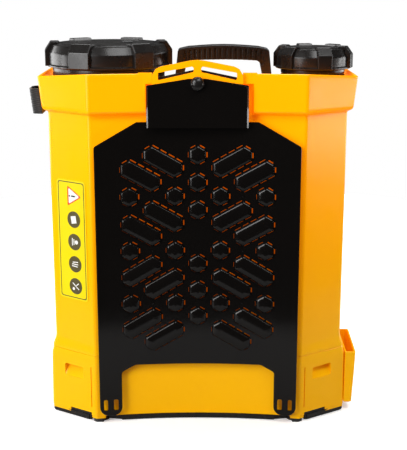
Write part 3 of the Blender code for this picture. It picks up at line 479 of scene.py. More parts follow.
def make_bracket_seat(tank):
    """Cuts the strap bracket's recess into the rim, and leaves a low sloping wall behind the strap slots."""
    notch, far = 53.4, -140
    half = [(-70, DECK_Z - 2), (-70, RIM_Z[0]), (-notch, RIM_Z[0]), (-notch, 428), (-50, 428), (-8, 436.5)]
    wall = prism(half + [(-x, z) for x, z in reversed(half)], -99, -84, "Y")
    recess = soften(box((-61, far, 381), (66, -91, 427)), 2.5, pick=lambda e: all(v.co.y > -92 for v in e.verts))
    recess = fuse(recess, box((-notch, far, 420), (notch, -91, 450)))
    return cut(fuse(cut(tank, box((-notch, far, 427), (notch, -86, 450))), wall), recess)


def make_tank():
    """One closed shell: body, flared rim, tray, two necks and the space for the liquid."""
    bm = bmesh.new()
    outer = [
        plan(SEAM_Z, 3.5, 0.5, 1.6), plan(SEAM_Z + 0.5, 3.9, 0.9, 1.9), plan(SEAM_Z + 2.0, 4.0, 1.0, 2.0),
        plan(SEAM_Z + 5.0, 3.4, 0.9, 1.7), plan(98.0, 1.6, 0.5, 0.9), plan(101.0, 0.7, 0.2, 0.4),
        plan(105.0, 0.0, 0.0, 0.0), *[plan(105.0 + 280.0 * k / 6) for k in range(1, 7)],
        plan(389.3, 0.2, 0.2, 0.2), plan(390.4, 1.2, 1.4, 1.2), plan(391.2, 3.0, 3.6, 3.0),
        plan(392.0, 4.8, 5.7, 4.8), plan(393.0, 6.0, 7.1, 6.0), plan(394.6, 6.8, 7.9, 6.8),
    ]
    wall, edge = 3.6, 1.4
    below = lambda drop: tuple(z - drop for z in RIM_Z)
    side, front = RIM_REACH + RIM_FLARE - wall, 8.0 - wall
    outer += [plan(heights, side_out, front_out, side_out) for heights, side_out, front_out in (
        *[(rim_levels(share), RIM_REACH + RIM_FLARE * share, 8.0) for share in (0.14, 0.4, 0.7, 0.9)],
        (below(edge), 11.4, 8.0), (below(0.4), 11.1, 7.6), (RIM_Z, 10.3, 6.8), (RIM_Z, side + 1.2, front + 1.2),
        (below(0.4), side + 0.3, front + 0.3), (below(edge), side, front), (DECK_Z + 1.4, side - 4.3, front),
        (DECK_Z + 0.4, side - 5.1, front - 0.8), (DECK_Z, side - 6.1, front - 1.8))]
    rings = [add_ring(bm, ring) for ring in outer]
    bridge(bm, *rings)
    wall_in = 3.5
    inner = [add_ring(bm, plan(z, -wall_in, -wall_in, -wall_in)) for z in (CEILING_Z, FLOOR_Z)]
    bridge(bm, *inner)
    decks, ceilings = [rings[-1]], [inner[0]]
    for m in (BIG, SMALL):
        levels = [(m.neck, DECK_Z), (m.neck, m.neck_top - 0.8), (m.neck - 0.8, m.neck_top),
                  (m.bore + 0.8, m.neck_top), (m.bore, m.neck_top - 0.8), (m.bore, CEILING_Z)]
        circles = [add_ring(bm, [(x, y, z) for x, y in circle(m.x, 0, r, 96)]) for r, z in levels]
        bridge(bm, *circles)
        decks.append(circles[0])
        ceilings.append(circles[-1])
    sump = [add_ring(bm, [(x, y, z) for x, y in circle(*SUMP, 11.0, 32)]) for z in (SEAM_Z, FLOOR_Z)]
    bridge(bm, *sump)
    sheet_with_holes(bm, *decks)
    sheet_with_holes(bm, *ceilings)
    sheet_with_holes(bm, rings[0], sump[0])
    sheet_with_holes(bm, inner[1], sump[1])
    bm = make_bracket_seat(bm)
    holes = join(*[prism(circle(x, 0, 2.3, 24), DECK_Z - 3.3, DECK_Z + 7) for _, x in HANDLE_SCREW_X],
                 prism(circle(0, KNOB_Z, KNOB_BORE, 24), -92, -87, "Y"))
    stand_in("tank_shell", cut(bm, holes), smooth=24)
    for label, m in (("filler", BIG), ("small", SMALL)):
        piece(f"{label}_neck_thread", make_thread(m), "yellow_body")
        inner, out, top = m.neck + 2.2, m.collar, m.bottom - 0.4
        collar = turned([(inner, DECK_Z + 0.3), (out - 0.6, DECK_Z + 0.3), (out, DECK_Z + 0.9), (out, top - 7.5),
                         (out - 0.9, top - 7.0), (out - 0.9, top - 5.6), (out, top - 5.1), (out, top - 1.2),
                         (out - 0.4, top - 0.3), (out - 1.2, top), (inner, top)], (m.x, 0, 0), steps=110)
        stand_in(f"{label}_neck_ring", collar)


def make_thread(m):
    """A ridge that winds round a neck at the cap's pitch."""
    turns, per_turn = 1.8, 72
    low = COLLAR_TOP_Z + 4.5
    rings = []
    total = int(turns * per_turn)
    for i in range(total + 1):
        angle = 2 * math.pi * i / per_turn
        grow = min(1.0, i / 8, (total - i) / 8)
        reach = 0.2 + 1.6 * grow
        rise = low + m.pitch * i / per_turn
        section = [(-0.6, -1.6), (reach * 0.7, -0.9), (reach, -0.3)]
        section += [(a, -b) for a, b in reversed(section)]
        rings.append([(m.x + (m.neck + a) * math.cos(angle), (m.neck + a) * math.sin(angle), rise + b)
                      for a, b in section])
    return loft(rings)


def make_handle():
    """An arched bar with splayed arms and inturned feet. Ribs cross its grip."""
    foot_z, inset = DECK_Z + 0.3, 0.9
    arm_in = FOOT_HALF - ARM_WIDTH
    under_z = HANDLE_TOP_Z - GRIP_THICK
    half = [(0, under_z + inset, 0), (24, under_z - 0.4 + inset, 0),
            (GRIP_HALF - ARM_WIDTH - 1.5, under_z - 1.5 + inset, 7),
            (arm_in, foot_z + 4, 2.5), (arm_in - 14, foot_z + 4, 1.5), (arm_in - 14, foot_z, 1.0),
            (FOOT_HALF, foot_z, 1.5), (GRIP_HALF + 0.4, HANDLE_TOP_Z - GRIP_CROWN - 1.6, 4.0),
            (GRIP_HALF * 0.78, HANDLE_TOP_Z - GRIP_CROWN * 0.52 - inset, 0),
            (GRIP_HALF * 0.5, HANDLE_TOP_Z - GRIP_CROWN * 0.25 - inset, 0),
            (GRIP_HALF * 0.25, HANDLE_TOP_Z - GRIP_CROWN * 0.06 - inset, 0), (0, HANDLE_TOP_Z - inset, 0)]
    outline = [(x + HANDLE_X, z) for x, z in fillet(mirrored(half))]
    deep = HANDLE_DEPTH / 2
    bar = prism(outline, -deep + inset, deep - inset, "Y")
    faces_y = deep - inset - 0.01
    soften(bar, 2.6, 5, 60, lambda e: all(abs(v.co.y) > faces_y for v in e.verts))
    flutes = []
    count, reach = 16, GRIP_HALF - 8.5
    for i in range(count):  # t goes from -1 to 1 along the grip's whole crown
        t = (2 * i / (count - 1) - 1) * reach / GRIP_HALF
        x = HANDLE_X + GRIP_HALF * t
        top = HANDLE_TOP_Z - GRIP_CROWN * t * t - 4.2
        for side in (-1, 1):
            section = fillet([(x - 1.9, side * (deep + 2), 0), (x - 1.9, side * (deep - 3.6), 1.2),
                              (x + 1.9, side * (deep - 3.6), 1.2), (x + 1.9, side * (deep + 2), 0)], 3)
            flutes.append(prism(section, under_z - 6, top))
    bar = cut(bar, join(*flutes))
    for _, x in HANDLE_SCREW_X:
        bar = cut(bar, prism(circle(x, 0, 2.4, 24), foot_z - 2, foot_z + 10))
    stand_in("carry_handle", bar)
    low, z = DECK_Z - 2.9, foot_z + 4.3
    for side, x in HANDLE_SCREW_X:
        screw = turned([(0, low), (2.0, low), (2.0, z), (4.5, z), (4.5, z + 0.8), (4.2, z + 1.4),
                        (3.3, z + 2.1), (2.2, z + 2.5), (0, z + 2.6)], (x, 0, 0), steps=32)
        cross = prism(plus(x, 0, 2.6, 0.4), z + 1.2, z + 5)
        stand_in(f"handle_screw_{dict(SIDES)[side]}", cut(screw, cross))


# ---------------- caps and strainer

def make_cap(node, m, body):
    """A screw cap: beaded skirt, sloped shoulder, stepped lid and six lugs."""
    out, lid = m.skirt_out, m.lid
    cap = turned([
        (0, m.under), (m.skirt_in, m.under), (m.skirt_in, m.bottom + 0.8),
        (m.skirt_in + 0.8, m.bottom), (out + 0.6, m.bottom), (out + 1.4, m.bottom + 0.8),
        (out + 1.4, m.bottom + 2.2), (out + 0.5, m.bottom + 3.2), (out, m.bottom + 3.8),
        (out, m.shoulder - 1.5), (out - 0.35, m.shoulder - 0.4), (out - 1.0, m.shoulder + 0.7),
        (out - 4.4, lid - 1.0), (out - 5.2, lid - 0.2), (out - 6.2, lid), (out - 9.0, lid), (out - 9.6, lid + 0.3),
        (out - 10.0, lid + 1.0), (out - 10.6, lid + 1.2), (out - 14.0, lid + 1.2), (out - 14.6, lid + 0.3),
        (out - 16.6, lid + 0.3), (out - 17.2, lid + 1.2), (0, lid + 1.2)], (m.x, 0, 0), steps=120)
    half = m.lug_width / 2
    inner = out - 16
    outline = [(m.skirt_in + 2, m.bottom + 1), (m.lug_out, m.bottom + 1),
               (m.lug_out, m.shoulder + 2), (m.lug_out - 7, m.lug_top), (inner + 3, m.lug_top),
               (inner, lid + 0.5), (inner, lid - 1.5), (m.skirt_in + 2, lid - 1.5)]
    for i in range(6):
        lug = soften(prism(outline, -half, half, "Y"), 0.9, 3, 15)
        around = Matrix.Rotation(math.radians(60 * i - 30 + m.turn), 4, "Z")
        lug.transform(Matrix.Translation((m.x, 0, 0)) @ around)
        cap = fuse(cap, lug)
    stand_in(node, cap, body)


def make_caps():
    make_cap("filler_cap", BIG, "filler_cap_turning")
    make_cap("small_cap", SMALL, "small_cap_turning")
    z = BIG.lid + 1.5
    vent = turned([(0, z), (7, z), (7, z + 0.7), (6.5, z + 1.1), (5.2, z + 1.3), (4.7, z + 1.8), (3.6, z + 1.9),
                   (3.2, z + 1.5), (0, z + 1.5)], (BIG.x + 24, 0, 0), steps=40)
    piece("cap_vent_fine", vent, "rubber", "filler_cap_turning", ("cap_vent_button",))


def make_strainer_screen():
    """The woven screen behind the strainer basket's windows."""
    bm = bmesh.new()
    radius, low, tall, around, up = 53.7, 352.0, 100.0, 110, 36
    rows = [add_ring(bm, [(x, y, low + tall * k / up) for x, y in circle(BIG.x, 0, radius, around)])
            for k in range(up + 1)]
    bridge(bm, *rows)
    obj = piece("strainer_screen", bm, "white_plastic", "strainer", even=False)
    wires = obj.modifiers.new("wires", "WIREFRAME")
    wires.thickness = 0.0006
    wires.use_even_offset = False


# ---------------- back plate, strap bracket and knob

def long_pad(x, z, rise, wide):
    """The outline round two hexagons that lie a step apart on a slope of 30 degrees, up or down."""
    slope = math.radians(30 * rise)
    reach = PAD_STEP / math.sqrt(3)
    points = []
    for turn, end in ((0, 1), (60, 1), (120, -1), (180, -1), (240, -1), (300, 1)):
        angle = slope + math.radians(turn)
        points.append((x + end * reach * math.cos(slope) + wide / math.sqrt(3) * math.cos(angle),
                       z + end * reach * math.sin(slope) + wide / math.sqrt(3) * math.sin(angle)))
    return points


def pad_places():
    """The pads' places and slopes: slope 0 is a single hexagon."""
    places = [(s * c, PAD_MID_Z + PAD_ROW * r, 0) for c in (27.4, 81.8) for r in (-1, 0, 1) for s in (-1, 1)]
    places += [(0, PAD_MID_Z + PAD_ROW / 4 * k, 0) for k in (-5, -3, -1, 3, 5, 7)]
    for row in (0, 1):
        for s in (-1, 1):
            upper = PAD_MID_Z + PAD_ROW * row
            lower = PAD_MID_Z - PAD_ROW * row
            places += [(s * 41.3, upper + 42.3, s), (s * 68.2, upper + 25.5, s),
                       (s * 68.2, lower - 25.5, -s), (s * 41.3, lower - 42.3, -s)]
    return places


def pad_outline(x, z, slope, wide):
    return long_pad(x, z, slope, wide) if slope else circle(x, z, wide / math.sqrt(3), 6, 30)


def dome(x, z, slope):
    """A raised pad with a rounded wall and a slightly crowned top, in the flat plate's frame."""
    rings = []
    for inset, height in ((1.0, -1.2), (1.0, 0.3), (1.1, 1.2), (1.5, 2.1), (2.3, 2.9), (3.5, 3.5), (5.0, 4.0),
                          (7.0, 4.4), (9.4, 4.6)):
        outline = pad_outline(x, z, slope, PAD_WIDE - 2 * inset)
        soft = fillet([(a, b, max(0.4, 3.4 - inset * 0.3)) for a, b in outline], 4)
        rings.append([(a, -height, b) for a, b in soft])
    return loft(rings)


def dot(x, z, radius):
    """A small moulded pip on the flat plate."""
    rings = [[(a, -height, b) for a, b in circle(x, z, radius * share, 14)]
             for share, height in ((1.0, -1.0), (1.0, 0.3), (0.75, 0.7), (0.3, 0.9))]
    return loft(rings)


def slits(x, z, slope):
    """Cutters for the row of dashes round a pad. They are widest on its upper right."""
    outline = pad_outline(x, z, slope, PAD_WIDE - 0.2)
    made = []
    for i in range(6):
        start, end = Vector(outline[i - 1]), Vector(outline[i])
        along = (end - start).normalized()
        outward = math.atan2(-along.x, along.y)
        across = Vector((-along.y, along.x)) * max(0.2, 0.42 + 0.34 * math.cos(outward - math.radians(40)))
        dashes = 4 if (end - start).length > 25 else 1
        share = (end - start).length / dashes
        long = (share - 3.0 if dashes > 1 else 6.4) / 2
        for k in range(dashes):
            middle = start + along * share * (k + 0.5)
            corners = [middle + along * a * long + across * b for a, b in ((-1, -1), (1, -1), (1, 1), (-1, 1))]
            made.append(prism([tuple(c) for c in corners], -2, PLATE_THICK + 2, "Y"))
    return made


def bend(bm, step=5.0):
    """Splits a flat plate into columns and moves them back onto the hollow surface."""
    count = int(PLATE_HALF / step)
    for i in range(-count, count + 1):
        geometry = bm.verts[:] + bm.edges[:] + bm.faces[:]
        bmesh.ops.bisect_plane(bm, geom=geometry, plane_co=(i * step, 0, 0), plane_no=(1, 0, 0), dist=0.0005)
    for vert in bm.verts:
        vert.co.y += hollow_y(vert.co.x, PLATE_Y, PLATE_HALF)
    return bm


def make_back_plate():
    half = [(0, 77.5, 0), (78, 77.5, 5), (95, 68.5, 5), (95, 11.5, 11), (PLATE_HALF, 10.5, 12),
            (PLATE_HALF, 353.5, 4), (72.5, 382.0, 3), (0, 382.0, 0)]
    front = lambda e: all(v.co.y < 0.01 for v in e.verts)
    plate = prism(fillet(mirrored(half), 8), 0, 2.2, "Y")
    soften(plate, 1.1, 3, 60, front)
    holes = []
    for place in pad_places():
        holes += slits(*place)
    for side in (-1, 1):
        for x, wide in ((102.6, 2.9), (115.2, 2.5)):
            slot = rounded((side * x - wide, 18.2), (side * x + wide, 33.0), 1.9)
            holes.append(prism(slot, -2, PLATE_THICK + 2, "Y"))
    plate = cut(plate, join(*holes))
    plate = fuse(plate, join(*[dome(*place) for place in pad_places()]))
    dots = [(s * 54.6, PAD_MID_Z + PAD_ROW * r, 1.3) for s in (-1, 1) for r in (-1, 0, 1)]
    plate = fuse(plate, join(*[dot(*place) for place in dots]))
    plate = bend(plate)
    tab_half = [(0, 376, 0), (60, 376, 0), (60, 425.5, 2.0), (10, 433.5, 5), (0, 433.5, 0)]
    tab = prism(fillet(mirrored(tab_half), 6), TAB_Y, TAB_Y + PLATE_THICK, "Y")
    edge_y = TAB_Y + 0.01
    soften(tab, 1.9, 1, 60, lambda e: all(v.co.y < edge_y and abs(v.co.x) > 57.9 for v in e.verts))
    soften(tab, 0.8, 3, 40, lambda e: all(v.co.y < edge_y and v.co.z > 420 for v in e.verts))
    web_back = hollow_y(60, PLATE_Y + PLATE_THICK, PLATE_HALF) - 0.6
    plate = fuse(plate, tab)
    plate = fuse(plate, box((-59.5, TAB_Y + 1, 377), (59.5, web_back, 380)))
    plate = cut(plate, prism(circle(0, KNOB_Z, KNOB_BORE, 32), TAB_Y - 5, TAB_Y + 10, "Y"))
    stand_in("back_plate", plate, smooth=28)


def make_strap_bracket():
    back = TAB_Y + PLATE_THICK + 0.3
    half = [(0, 402, 0), (44, 402, 4), (53, 412, 4), (53, 437, 3), (49, 444, 4), (43, 447, 4),
            (8, 453.9, 10), (0, 454.6, 0)]
    bracket = prism(fillet(mirrored(half), 6), back, back + 5.0, "Y")
    for side in (-1, 1):
        slot = [(side * 4.5, 440.5, 1.5), (side * 46, 431, 1.5),
                (side * 46, 440, 1.5), (side * 4.5, 447.5, 2.2)]
        bracket = cut(bracket, prism(fillet(slot), back - 5, back + 20, "Y"))
    bmesh.ops.dissolve_limit(bracket, angle_limit=math.radians(0.5), verts=bracket.verts, edges=bracket.edges)
    soften(bracket, 0.9, 3, 60)
    bracket = fuse(bracket, box((-22, back + 2, 404), (22, -91.3, 434)))
    bracket = cut(bracket, prism(circle(0, KNOB_Z, KNOB_BORE, 32), back - 5, back + 25, "Y"))
    stand_in("strap_bracket", bracket)
    for side, label in SIDES:
        strip = [(side * 3.0, 437.5), (side * 47.5, 428.0), (side * 47.5, 434.0), (side * 3.0, 443.2)]
        piece(f"slot_edge_{label}", soften(prism(strip, back + 5.3, back + 7.3, "Y"), 0.4, 2), "satin_black")


def make_knob():
    """The domed bolt that clamps the plate's tab and the strap bracket to the tank."""
    face = TAB_Y - 0.3
    arc = [(8.2 * math.cos(t), -(face - 1.6 - 5.8 * math.sin(t))) for t in [math.radians(a) for a in range(0, 90, 9)]]
    profile = [(0, 88.0), (3.0, 88.0), (3.0, -face), (7.9, -face), (8.2, -face + 0.4), *arc, (0, -face + 7.4)]
    bolt = turned(profile, (0, 0, 0), steps=48)
    bolt.transform(Matrix.Translation((0, 0, KNOB_Z)) @ Matrix.Rotation(math.pi / 2, 4, "X"))
    stand_in("plate_knob", bolt)


# ---------------- base

def corner_face(side, along, z, off, grown=0.0):
    """A point on the front corner face, from 0 at the fold to 1 at the flank, off that face by a distance."""
    start, end = Vector((FOLD_X, FRONT_Y)), Vector((BODY_HALF + grown, CORNER_FRONT_Y))
    normal = Vector((end.y - start.y, start.x - end.x)).normalized()
    place = start.lerp(end, along) + normal * off
    return (side * place.x, place.y, z)


def corner_block(side, along, heights, depth, rise=9.0):
    """A block on the base's front corner face, from a depth behind it to a rise in front of it."""
    corners = ((along[0], -depth), (along[1], -depth), (along[1], rise), (along[0], rise))
    return prism([corner_face(side, a, 0, off, BASE_GROWN)[:2] for a, off in corners], *heights)


def scoop(side):
    """A hand pocket's cutter: deep under its upper lip, and sloping out to nothing at its foot."""
    edge = [(-7.5, 70.5), (-7.0, 66.0), (0.0, 54.5), (4.0, 54.5), (4.0, 70.5)]
    rings = []
    for along in (0.27, 0.30, 0.66, 0.69):
        drop = 1.5 if along in (0.27, 0.69) else 0.0
        rings.append([corner_face(side, along, z - drop * (z > 60) + drop * (z < 60), off + drop * (off < 0), 6.4)
                      for off, z in edge])
    return loft(rings)


def make_base():
    """The base's cover: a shell with a soft ledge under the tank, stepped lower edges and hand pockets."""
    bm = bmesh.new()
    outside = [add_ring(bm, plan(z, *grown)) for z, *grown in (
        (BASE_BOTTOM_Z, 6.2, 0.3, 2.3), (BASE_BOTTOM_Z + 0.8, 7.0, 1.0, 3.0), (30.0, 6.8, 1.0, 3.0),
        (60.0, 6.4, 1.0, 3.0), (76.0, 6.1, 1.0, 3.0), (79.5, 5.9, 0.9, 2.8), (82.5, 5.2, 0.5, 2.4),
        (85.5, 4.6, 0.1, 2.0), (87.4, 4.4, 0.2, 1.9), (BASE_TOP_Z, 3.8, -0.2, 1.4))]
    roof = add_ring(bm, plan(BASE_TOP_Z - 3.5, 0.8, -3.0, -0.8))
    mouth = add_ring(bm, plan(BASE_BOTTOM_Z, 3.4, -2.2, 0.2))
    bridge(bm, roof, mouth, *outside)
    bm.faces.new(outside[-1])
    bm.faces.new(roof)
    for side, _ in SIDES:
        bm = fuse(bm, corner_block(side, (0.18, 0.80), (48.0, 78.0), 13.0, rise=-2.0))
        bm = cut(bm, scoop(side))
        bm = cut(bm, corner_block(side, (0.10, 0.58), (0.0, 12.0), 5.0))
        bm = cut(bm, corner_block(side, (0.085, 0.105), (19.0, 73.0), 1.3))
    window = box((-56, REAR_Y - 8, PANEL_MID_Z - 18), (81, REAR_Y + 10, PANEL_MID_Z + 18))
    bm = cut(bm, window)
    bm = cut(bm, prism(circle(OUTLET_X, OUTLET_Z, 8.5, 40), REAR_Y - 10, REAR_Y + 15, "Y"))
    bm = cut(bm, prism(circle(*SUMP, 14.0, 40), BASE_TOP_Z - 8, BASE_TOP_Z + 4))
    stand_in("base_housing", bm, smooth=24)
    for side, label in SIDES:
        make_leg(side, label)


def make_leg(side, label):
    """The base cover's foot at a front fold, which runs down past its lower edge."""
    leg = [(116.5, -92.0, 1.5), (116.5, hollow_y(116.5, -101.0), 1), (121, hollow_y(121, -101.0), 0),
           (127.8, -100.8, 3), (134.6, -96.2, 1.5), (130, -89, 1.5)]
    pad = [(119.0, -92.5, 1.5), (119.0, -99.4, 1.5), (127.4, -99.6, 2.5), (132.6, -96.0, 1.5), (129, -91, 1.5)]
    leg, pad = [fillet([(side * x, y, r) for x, y, r in outline], 4) for outline in (leg, pad)]
    piece(f"base_leg_{label}", soften(prism(leg, 4.8, 14.0), 0.6, 2, 50), "yellow_body")
    piece(f"leg_pad_{label}", soften(prism(pad, 0.0, 4.6), 0.5, 2, 50), "rubber")
    skirt = corner_block(side, (0.585, 0.985), (5.6, 9.0), 3.0, rise=0.0)
    piece(f"base_skirt_{label}", soften(skirt, 0.4, 2), "yellow_body")
    sill = corner_block(side, (0.13, 0.58), (1.2, 11.7), 3.4, rise=-0.9)
    piece(f"pan_sill_{label}", soften(sill, 0.4, 2), "satin_black")


def make_bottom_plate():
    """The black pan under the base, with its edge showing below the cover."""
    rings = [plan(0.8, 5.6, -0.6, 1.4), plan(1.3, 6.1, 0.0, 2.0), plan(4.0, 6.3, 0.3, 2.3), plan(7.7, 6.4, 0.5, 2.5)]
    plate = loft(rings)
    holes = [prism(circle(*place, 6.9, 32), -2, 20) for place in FOOT_PLACES]
    sunk = [(0, -2), (4.8, -2), (4.8, 5.0), (2.1, 5.0), (2.1, 18), (0, 18)]
    holes += [turned(sunk, (*place, 0), steps=32) for place in BOTTOM_SCREW_PLACES]
    plate = cut(plate, join(*holes))
    for side, _ in SIDES:
        corner = [(96.5, -110), (139, -110), (139, -94), (130, -86.5), (96.5, -92)]
        plate = cut(plate, prism([(side * x, y) for x, y in corner], -2, 12))
    stand_in("bottom_plate", plate)


def make_feet():
    """Rubber feet: a round plug through the pan, with a wide pad below."""
    profile = [(0, 0.5), (5.0, 0.5), (5.6, 0), (7.6, 0), (8.2, 0.3), (8.4, 0.8), (8.4, 1.3), (8.2, 1.5),
               (6.4, 1.5), (6.4, 8.0), (8.4, 8.0), (8.4, 9.4), (8.0, 9.8), (0, 9.8)]
    for i, place in enumerate(FOOT_PLACES):
        stand_in(f"rubber_foot_{i + 1}", turned(profile, (*place, 0), steps=40))


def make_cup():
    """The pocket on the base's right flank. It narrows downwards, and its mouth leans out."""
    x0, (y0, y1), (z0, z1) = 188.8, (-62.0, 26.0), (11.0, 80.0)

    def ring(near_x, far_x, z, wall):
        corners = [(x0 + wall, y0 + wall, 1.0), (near_x - wall, y0 + wall, 3.0), (far_x - wall, y1 - wall, 3.0),
                   (x0 + wall, y1 - wall, 1.0)]
        return [(x, y, z) for x, y in fillet(corners, 5)]
    cup = loft([ring(198.8, 199.3, z0, 0.6), ring(199.2, 199.7, z0 + 0.6, 0), ring(201.6, 203.4, 50.0, 0),
                ring(202.7, 204.9, z1 - 0.6, 0), ring(202.4, 204.6, z1, 0.4)])
    inside = loft([ring(199.0, 199.5, z0 + 3.0, 2.8), ring(199.4, 199.9, z0 + 4.0, 2.2),
                   ring(203.0, 205.2, z1 + 4, 2.0)])
    stand_in("lance_cup", cut(cup, inside), smooth=24)


# ---------------- webbing loop and label

def make_hose_loop():
    """A loop of stitched webbing on the rim's left flank, which leans with it."""
    outer = [(0.0, -58, 0), (-10.2, -56, 2.5), (-12.6, -51, 4), (-12.6, -27, 4), (-10.2, -22, 2.5), (0.0, -20, 0)]
    inner = [(-0.2, -22.6, 0), (-8.8, -24.4, 2), (-10.5, -28, 3), (-10.5, -50, 3), (-8.8, -53.6, 2), (-0.2, -55.4, 0)]
    bm = bmesh.new()
    rows = []
    levels = 15
    for k in range(levels):
        z = LOOP_LOW_Z + LOOP_TALL * k / (levels - 1)
        reach = RIM_REACH + RIM_FLARE * (z - RIM_BOTTOM_Z) / (RIM_Z[1] - RIM_BOTTOM_Z)
        wall_x = -(BODY_HALF + reach) - 1.0
        notch = 0.35 * (k % 2)
        rows.append([add_ring(bm, [(wall_x + x * (1 - notch / 13), y, z) for x, y in fillet(ring, 5)])
                     for ring in (outer, inner)])
    outside, inside = zip(*rows)
    bridge(bm, *outside, *reversed(inside), outside[0])
    stand_in("hose_loop", bm, smooth=50)


def flank_ring(points, off):
    """(across, z) points on the left front corner face, at a distance off it."""
    return [corner_face(-1, a / CORNER_LONG, z, off) for a, z in points]


def on_label(points, low, high):
    """A flat shape on the label, between two distances off the corner face."""
    return loft([flank_ring(points, off) for off in (low, high)])


def label_print(name, points, low, high, ink):
    piece(name, on_label(points, low, high), "label_film", material=ink)


def label_line(outer, inner, low, high):
    """A closed line on the label, between an outer and an inner outline."""
    bm = bmesh.new()
    rings = [add_ring(bm, flank_ring(*ring)) for ring in ((outer, low), (outer, high), (inner, high), (inner, low))]
    bridge(bm, *rings, rings[0])
    return bm


def pictogram(kind, a, z):
    """White shapes in a label's disc: a sheet, a ring by two bars, three lines, or a cross with a ring."""
    def bar(a0, z0, a1, z1, wide):
        start, end = Vector((a0, z0)), Vector((a1, z1))
        across = (end - start).normalized().orthogonal() * wide / 2
        return [tuple(v) for v in (start - across, end - across, end + across, start + across)]
    if kind == 0:
        return [[(a - 4.5, z - 4.0), (a + 3.5, z - 5.5), (a + 5.0, z + 3.5), (a - 3.0, z + 5.0)]]
    if kind == 1:
        return [circle(a - 3.2, z, 2.6, 20), bar(a + 0.8, z + 3.6, a + 0.8, z - 3.6, 1.3),
                bar(a + 3.4, z + 4.6, a + 3.4, z - 4.6, 1.3)]
    if kind == 2:
        return [bar(a - 5, z + 3.0, a + 4, z + 2.4, 1.2), bar(a - 5, z, a + 5, z, 1.2),
                bar(a - 4, z - 3.0, a + 5, z - 2.4, 1.2)]
    return [bar(a - 5, z - 4, a + 5, z + 4, 1.3), bar(a - 5, z + 4, a - 1.0, z + 0.8, 1.3),
            circle(a + 3.6, z - 3.6, 1.9, 18)]


def make_label():
    """A film label with a border, a plain triangle and four discs. It carries no words."""
    a0, a1, z0, z1 = 8.5, 54.5, 158.0, 309.0
    stand_in("side_label", on_label(rounded((a0, z0), (a1, z1), 4), 0.3, 0.7))
    outer, inner = [rounded((a0 + inset, z0 + inset), (a1 - inset, z1 - inset), 3) for inset in (2, 3)]
    piece("label_border", label_line(outer, inner, 0.5, 0.75), "label_film", material=print_dark)
    mid, sign_z = a0 + 19.5, 289.5
    # Across is measured from the fold, which lies to the right on this side, so the triangle's tip comes first.
    for reach, low, high, ink in ((13.0, 0.6, 0.78, print_red), (10.2, 0.7, 0.86, print_white)):
        back, half = mid + reach * 0.72, reach * 0.98
        corners = [(mid - reach, sign_z, 1.2), (back, sign_z + half, 1.2), (back, sign_z - half, 1.2)]
        label_print(f"label_triangle_{int(reach)}", fillet(corners, 3), low, high, ink)
    dash = rounded((mid - 3.5, sign_z - 0.9), (mid + 3.2, sign_z + 0.9), 0.8, 3)
    label_print("label_bar", dash, 0.8, 0.92, print_dark)
    label_print("label_bar_dot", circle(mid + 6.0, sign_z, 1.1, 20), 0.8, 0.92, print_dark)
    for i in range(4):
        z = 260.3 - 28.3 * i
        label_print(f"label_disc_{i + 1}", circle(mid, z, 10.4, 48), 0.6, 0.78, print_disc)
        for k, shape in enumerate(pictogram(i, mid, z)):
            label_print(f"label_mark_{i + 1}_{k + 1}", shape, 0.7, 0.86, print_white)


# ---------------- rear panel and its controls

def panel_outline(inset, radius):
    return rounded((PANEL_X[0] + inset, PANEL_Z[0] + inset), (PANEL_X[1] - inset, PANEL_Z[1] - inset), radius, 8)


def panel_box(x, half_x, half_z, low, high):
    """A block round a control's place, between two depths."""
    return box((x - half_x, low, PANEL_MID_Z - half_z), (x + half_x, high, PANEL_MID_Z + half_z))


def on_face(level):
    """Picks the edges that lie at or beyond a depth."""
    return lambda e: all(v.co.y > level for v in e.verts)


def make_panel():
    """The control panel: a rounded black face with an engraved border and its controls' openings."""
    panel = prism(panel_outline(0, 8), PANEL_Y, PANEL_FACE_Y, "Y")
    soften(panel, 1.1, 3, 60, on_face(PANEL_FACE_Y - 0.1))
    through = PANEL_Y - 5, PANEL_FACE_Y + 5
    holes = join(panel_box(SWITCH_X, 7.3, 10.8, *through), panel_box(GAUGE_X, 12.3, 8.3, *through),
                 prism(circle(DIAL_X, PANEL_MID_Z, 4.0, 40), *through, "Y"),
                 prism(circle(SOCKET_X, PANEL_MID_Z, 6.0, 40), *through, "Y"))
    line = cut(prism(panel_outline(3.5, 5.5), PANEL_FACE_Y - 0.4, PANEL_FACE_Y + 1, "Y"),
               prism(panel_outline(4.5, 5), PANEL_FACE_Y - 1, PANEL_FACE_Y + 2, "Y"))
    stand_in("control_panel", cut(cut(panel, holes), line))
    make_panel_screws()
    make_dial_ticks()


def make_panel_screws():
    face, inset = PANEL_FACE_Y + 0.02, 8.5
    x0, x1, z0, z1 = PANEL_X[0] + inset, PANEL_X[1] - inset, PANEL_Z[0] + inset, PANEL_Z[1] - inset
    for i, (x, z) in enumerate([(x0, z0), (x1, z0), (x1, z1), (x0, z1)]):
        screw = turned([(0, face - 1), (2.6, face - 1), (2.6, face + 0.3), (2.1, face + 0.8), (0, face + 1.1)],
                       (x, 0, z), "Y", 28)
        piece(f"panel_screw_{i + 1}", cut(screw, prism(plus(x, z, 1.6, 0.35), face + 0.35, face + 3, "Y")), "steel")


def make_dial_ticks():
    """Eleven marks over the dial's 270 degrees. The ends and the middle are longer and wider."""
    face = PANEL_FACE_Y + 0.05
    for i in range(11):
        turn, main = math.radians(-135 + 27 * i), i % 5 == 0
        reach = Vector((math.sin(turn), math.cos(turn)))
        across = Vector((reach.y, -reach.x)) * (0.35 + 0.25 * main)
        start, end = reach * 14.6, reach * (17.0 + main)
        corners = [(DIAL_X - v.x, PANEL_MID_Z + v.y)
                   for v in (start - across, end - across, end + across, start + across)]
        piece(f"dial_tick_{i + 1}", prism(corners, face - 0.3, face + 0.1, "Y"), "white_plastic",
              material=print_white)


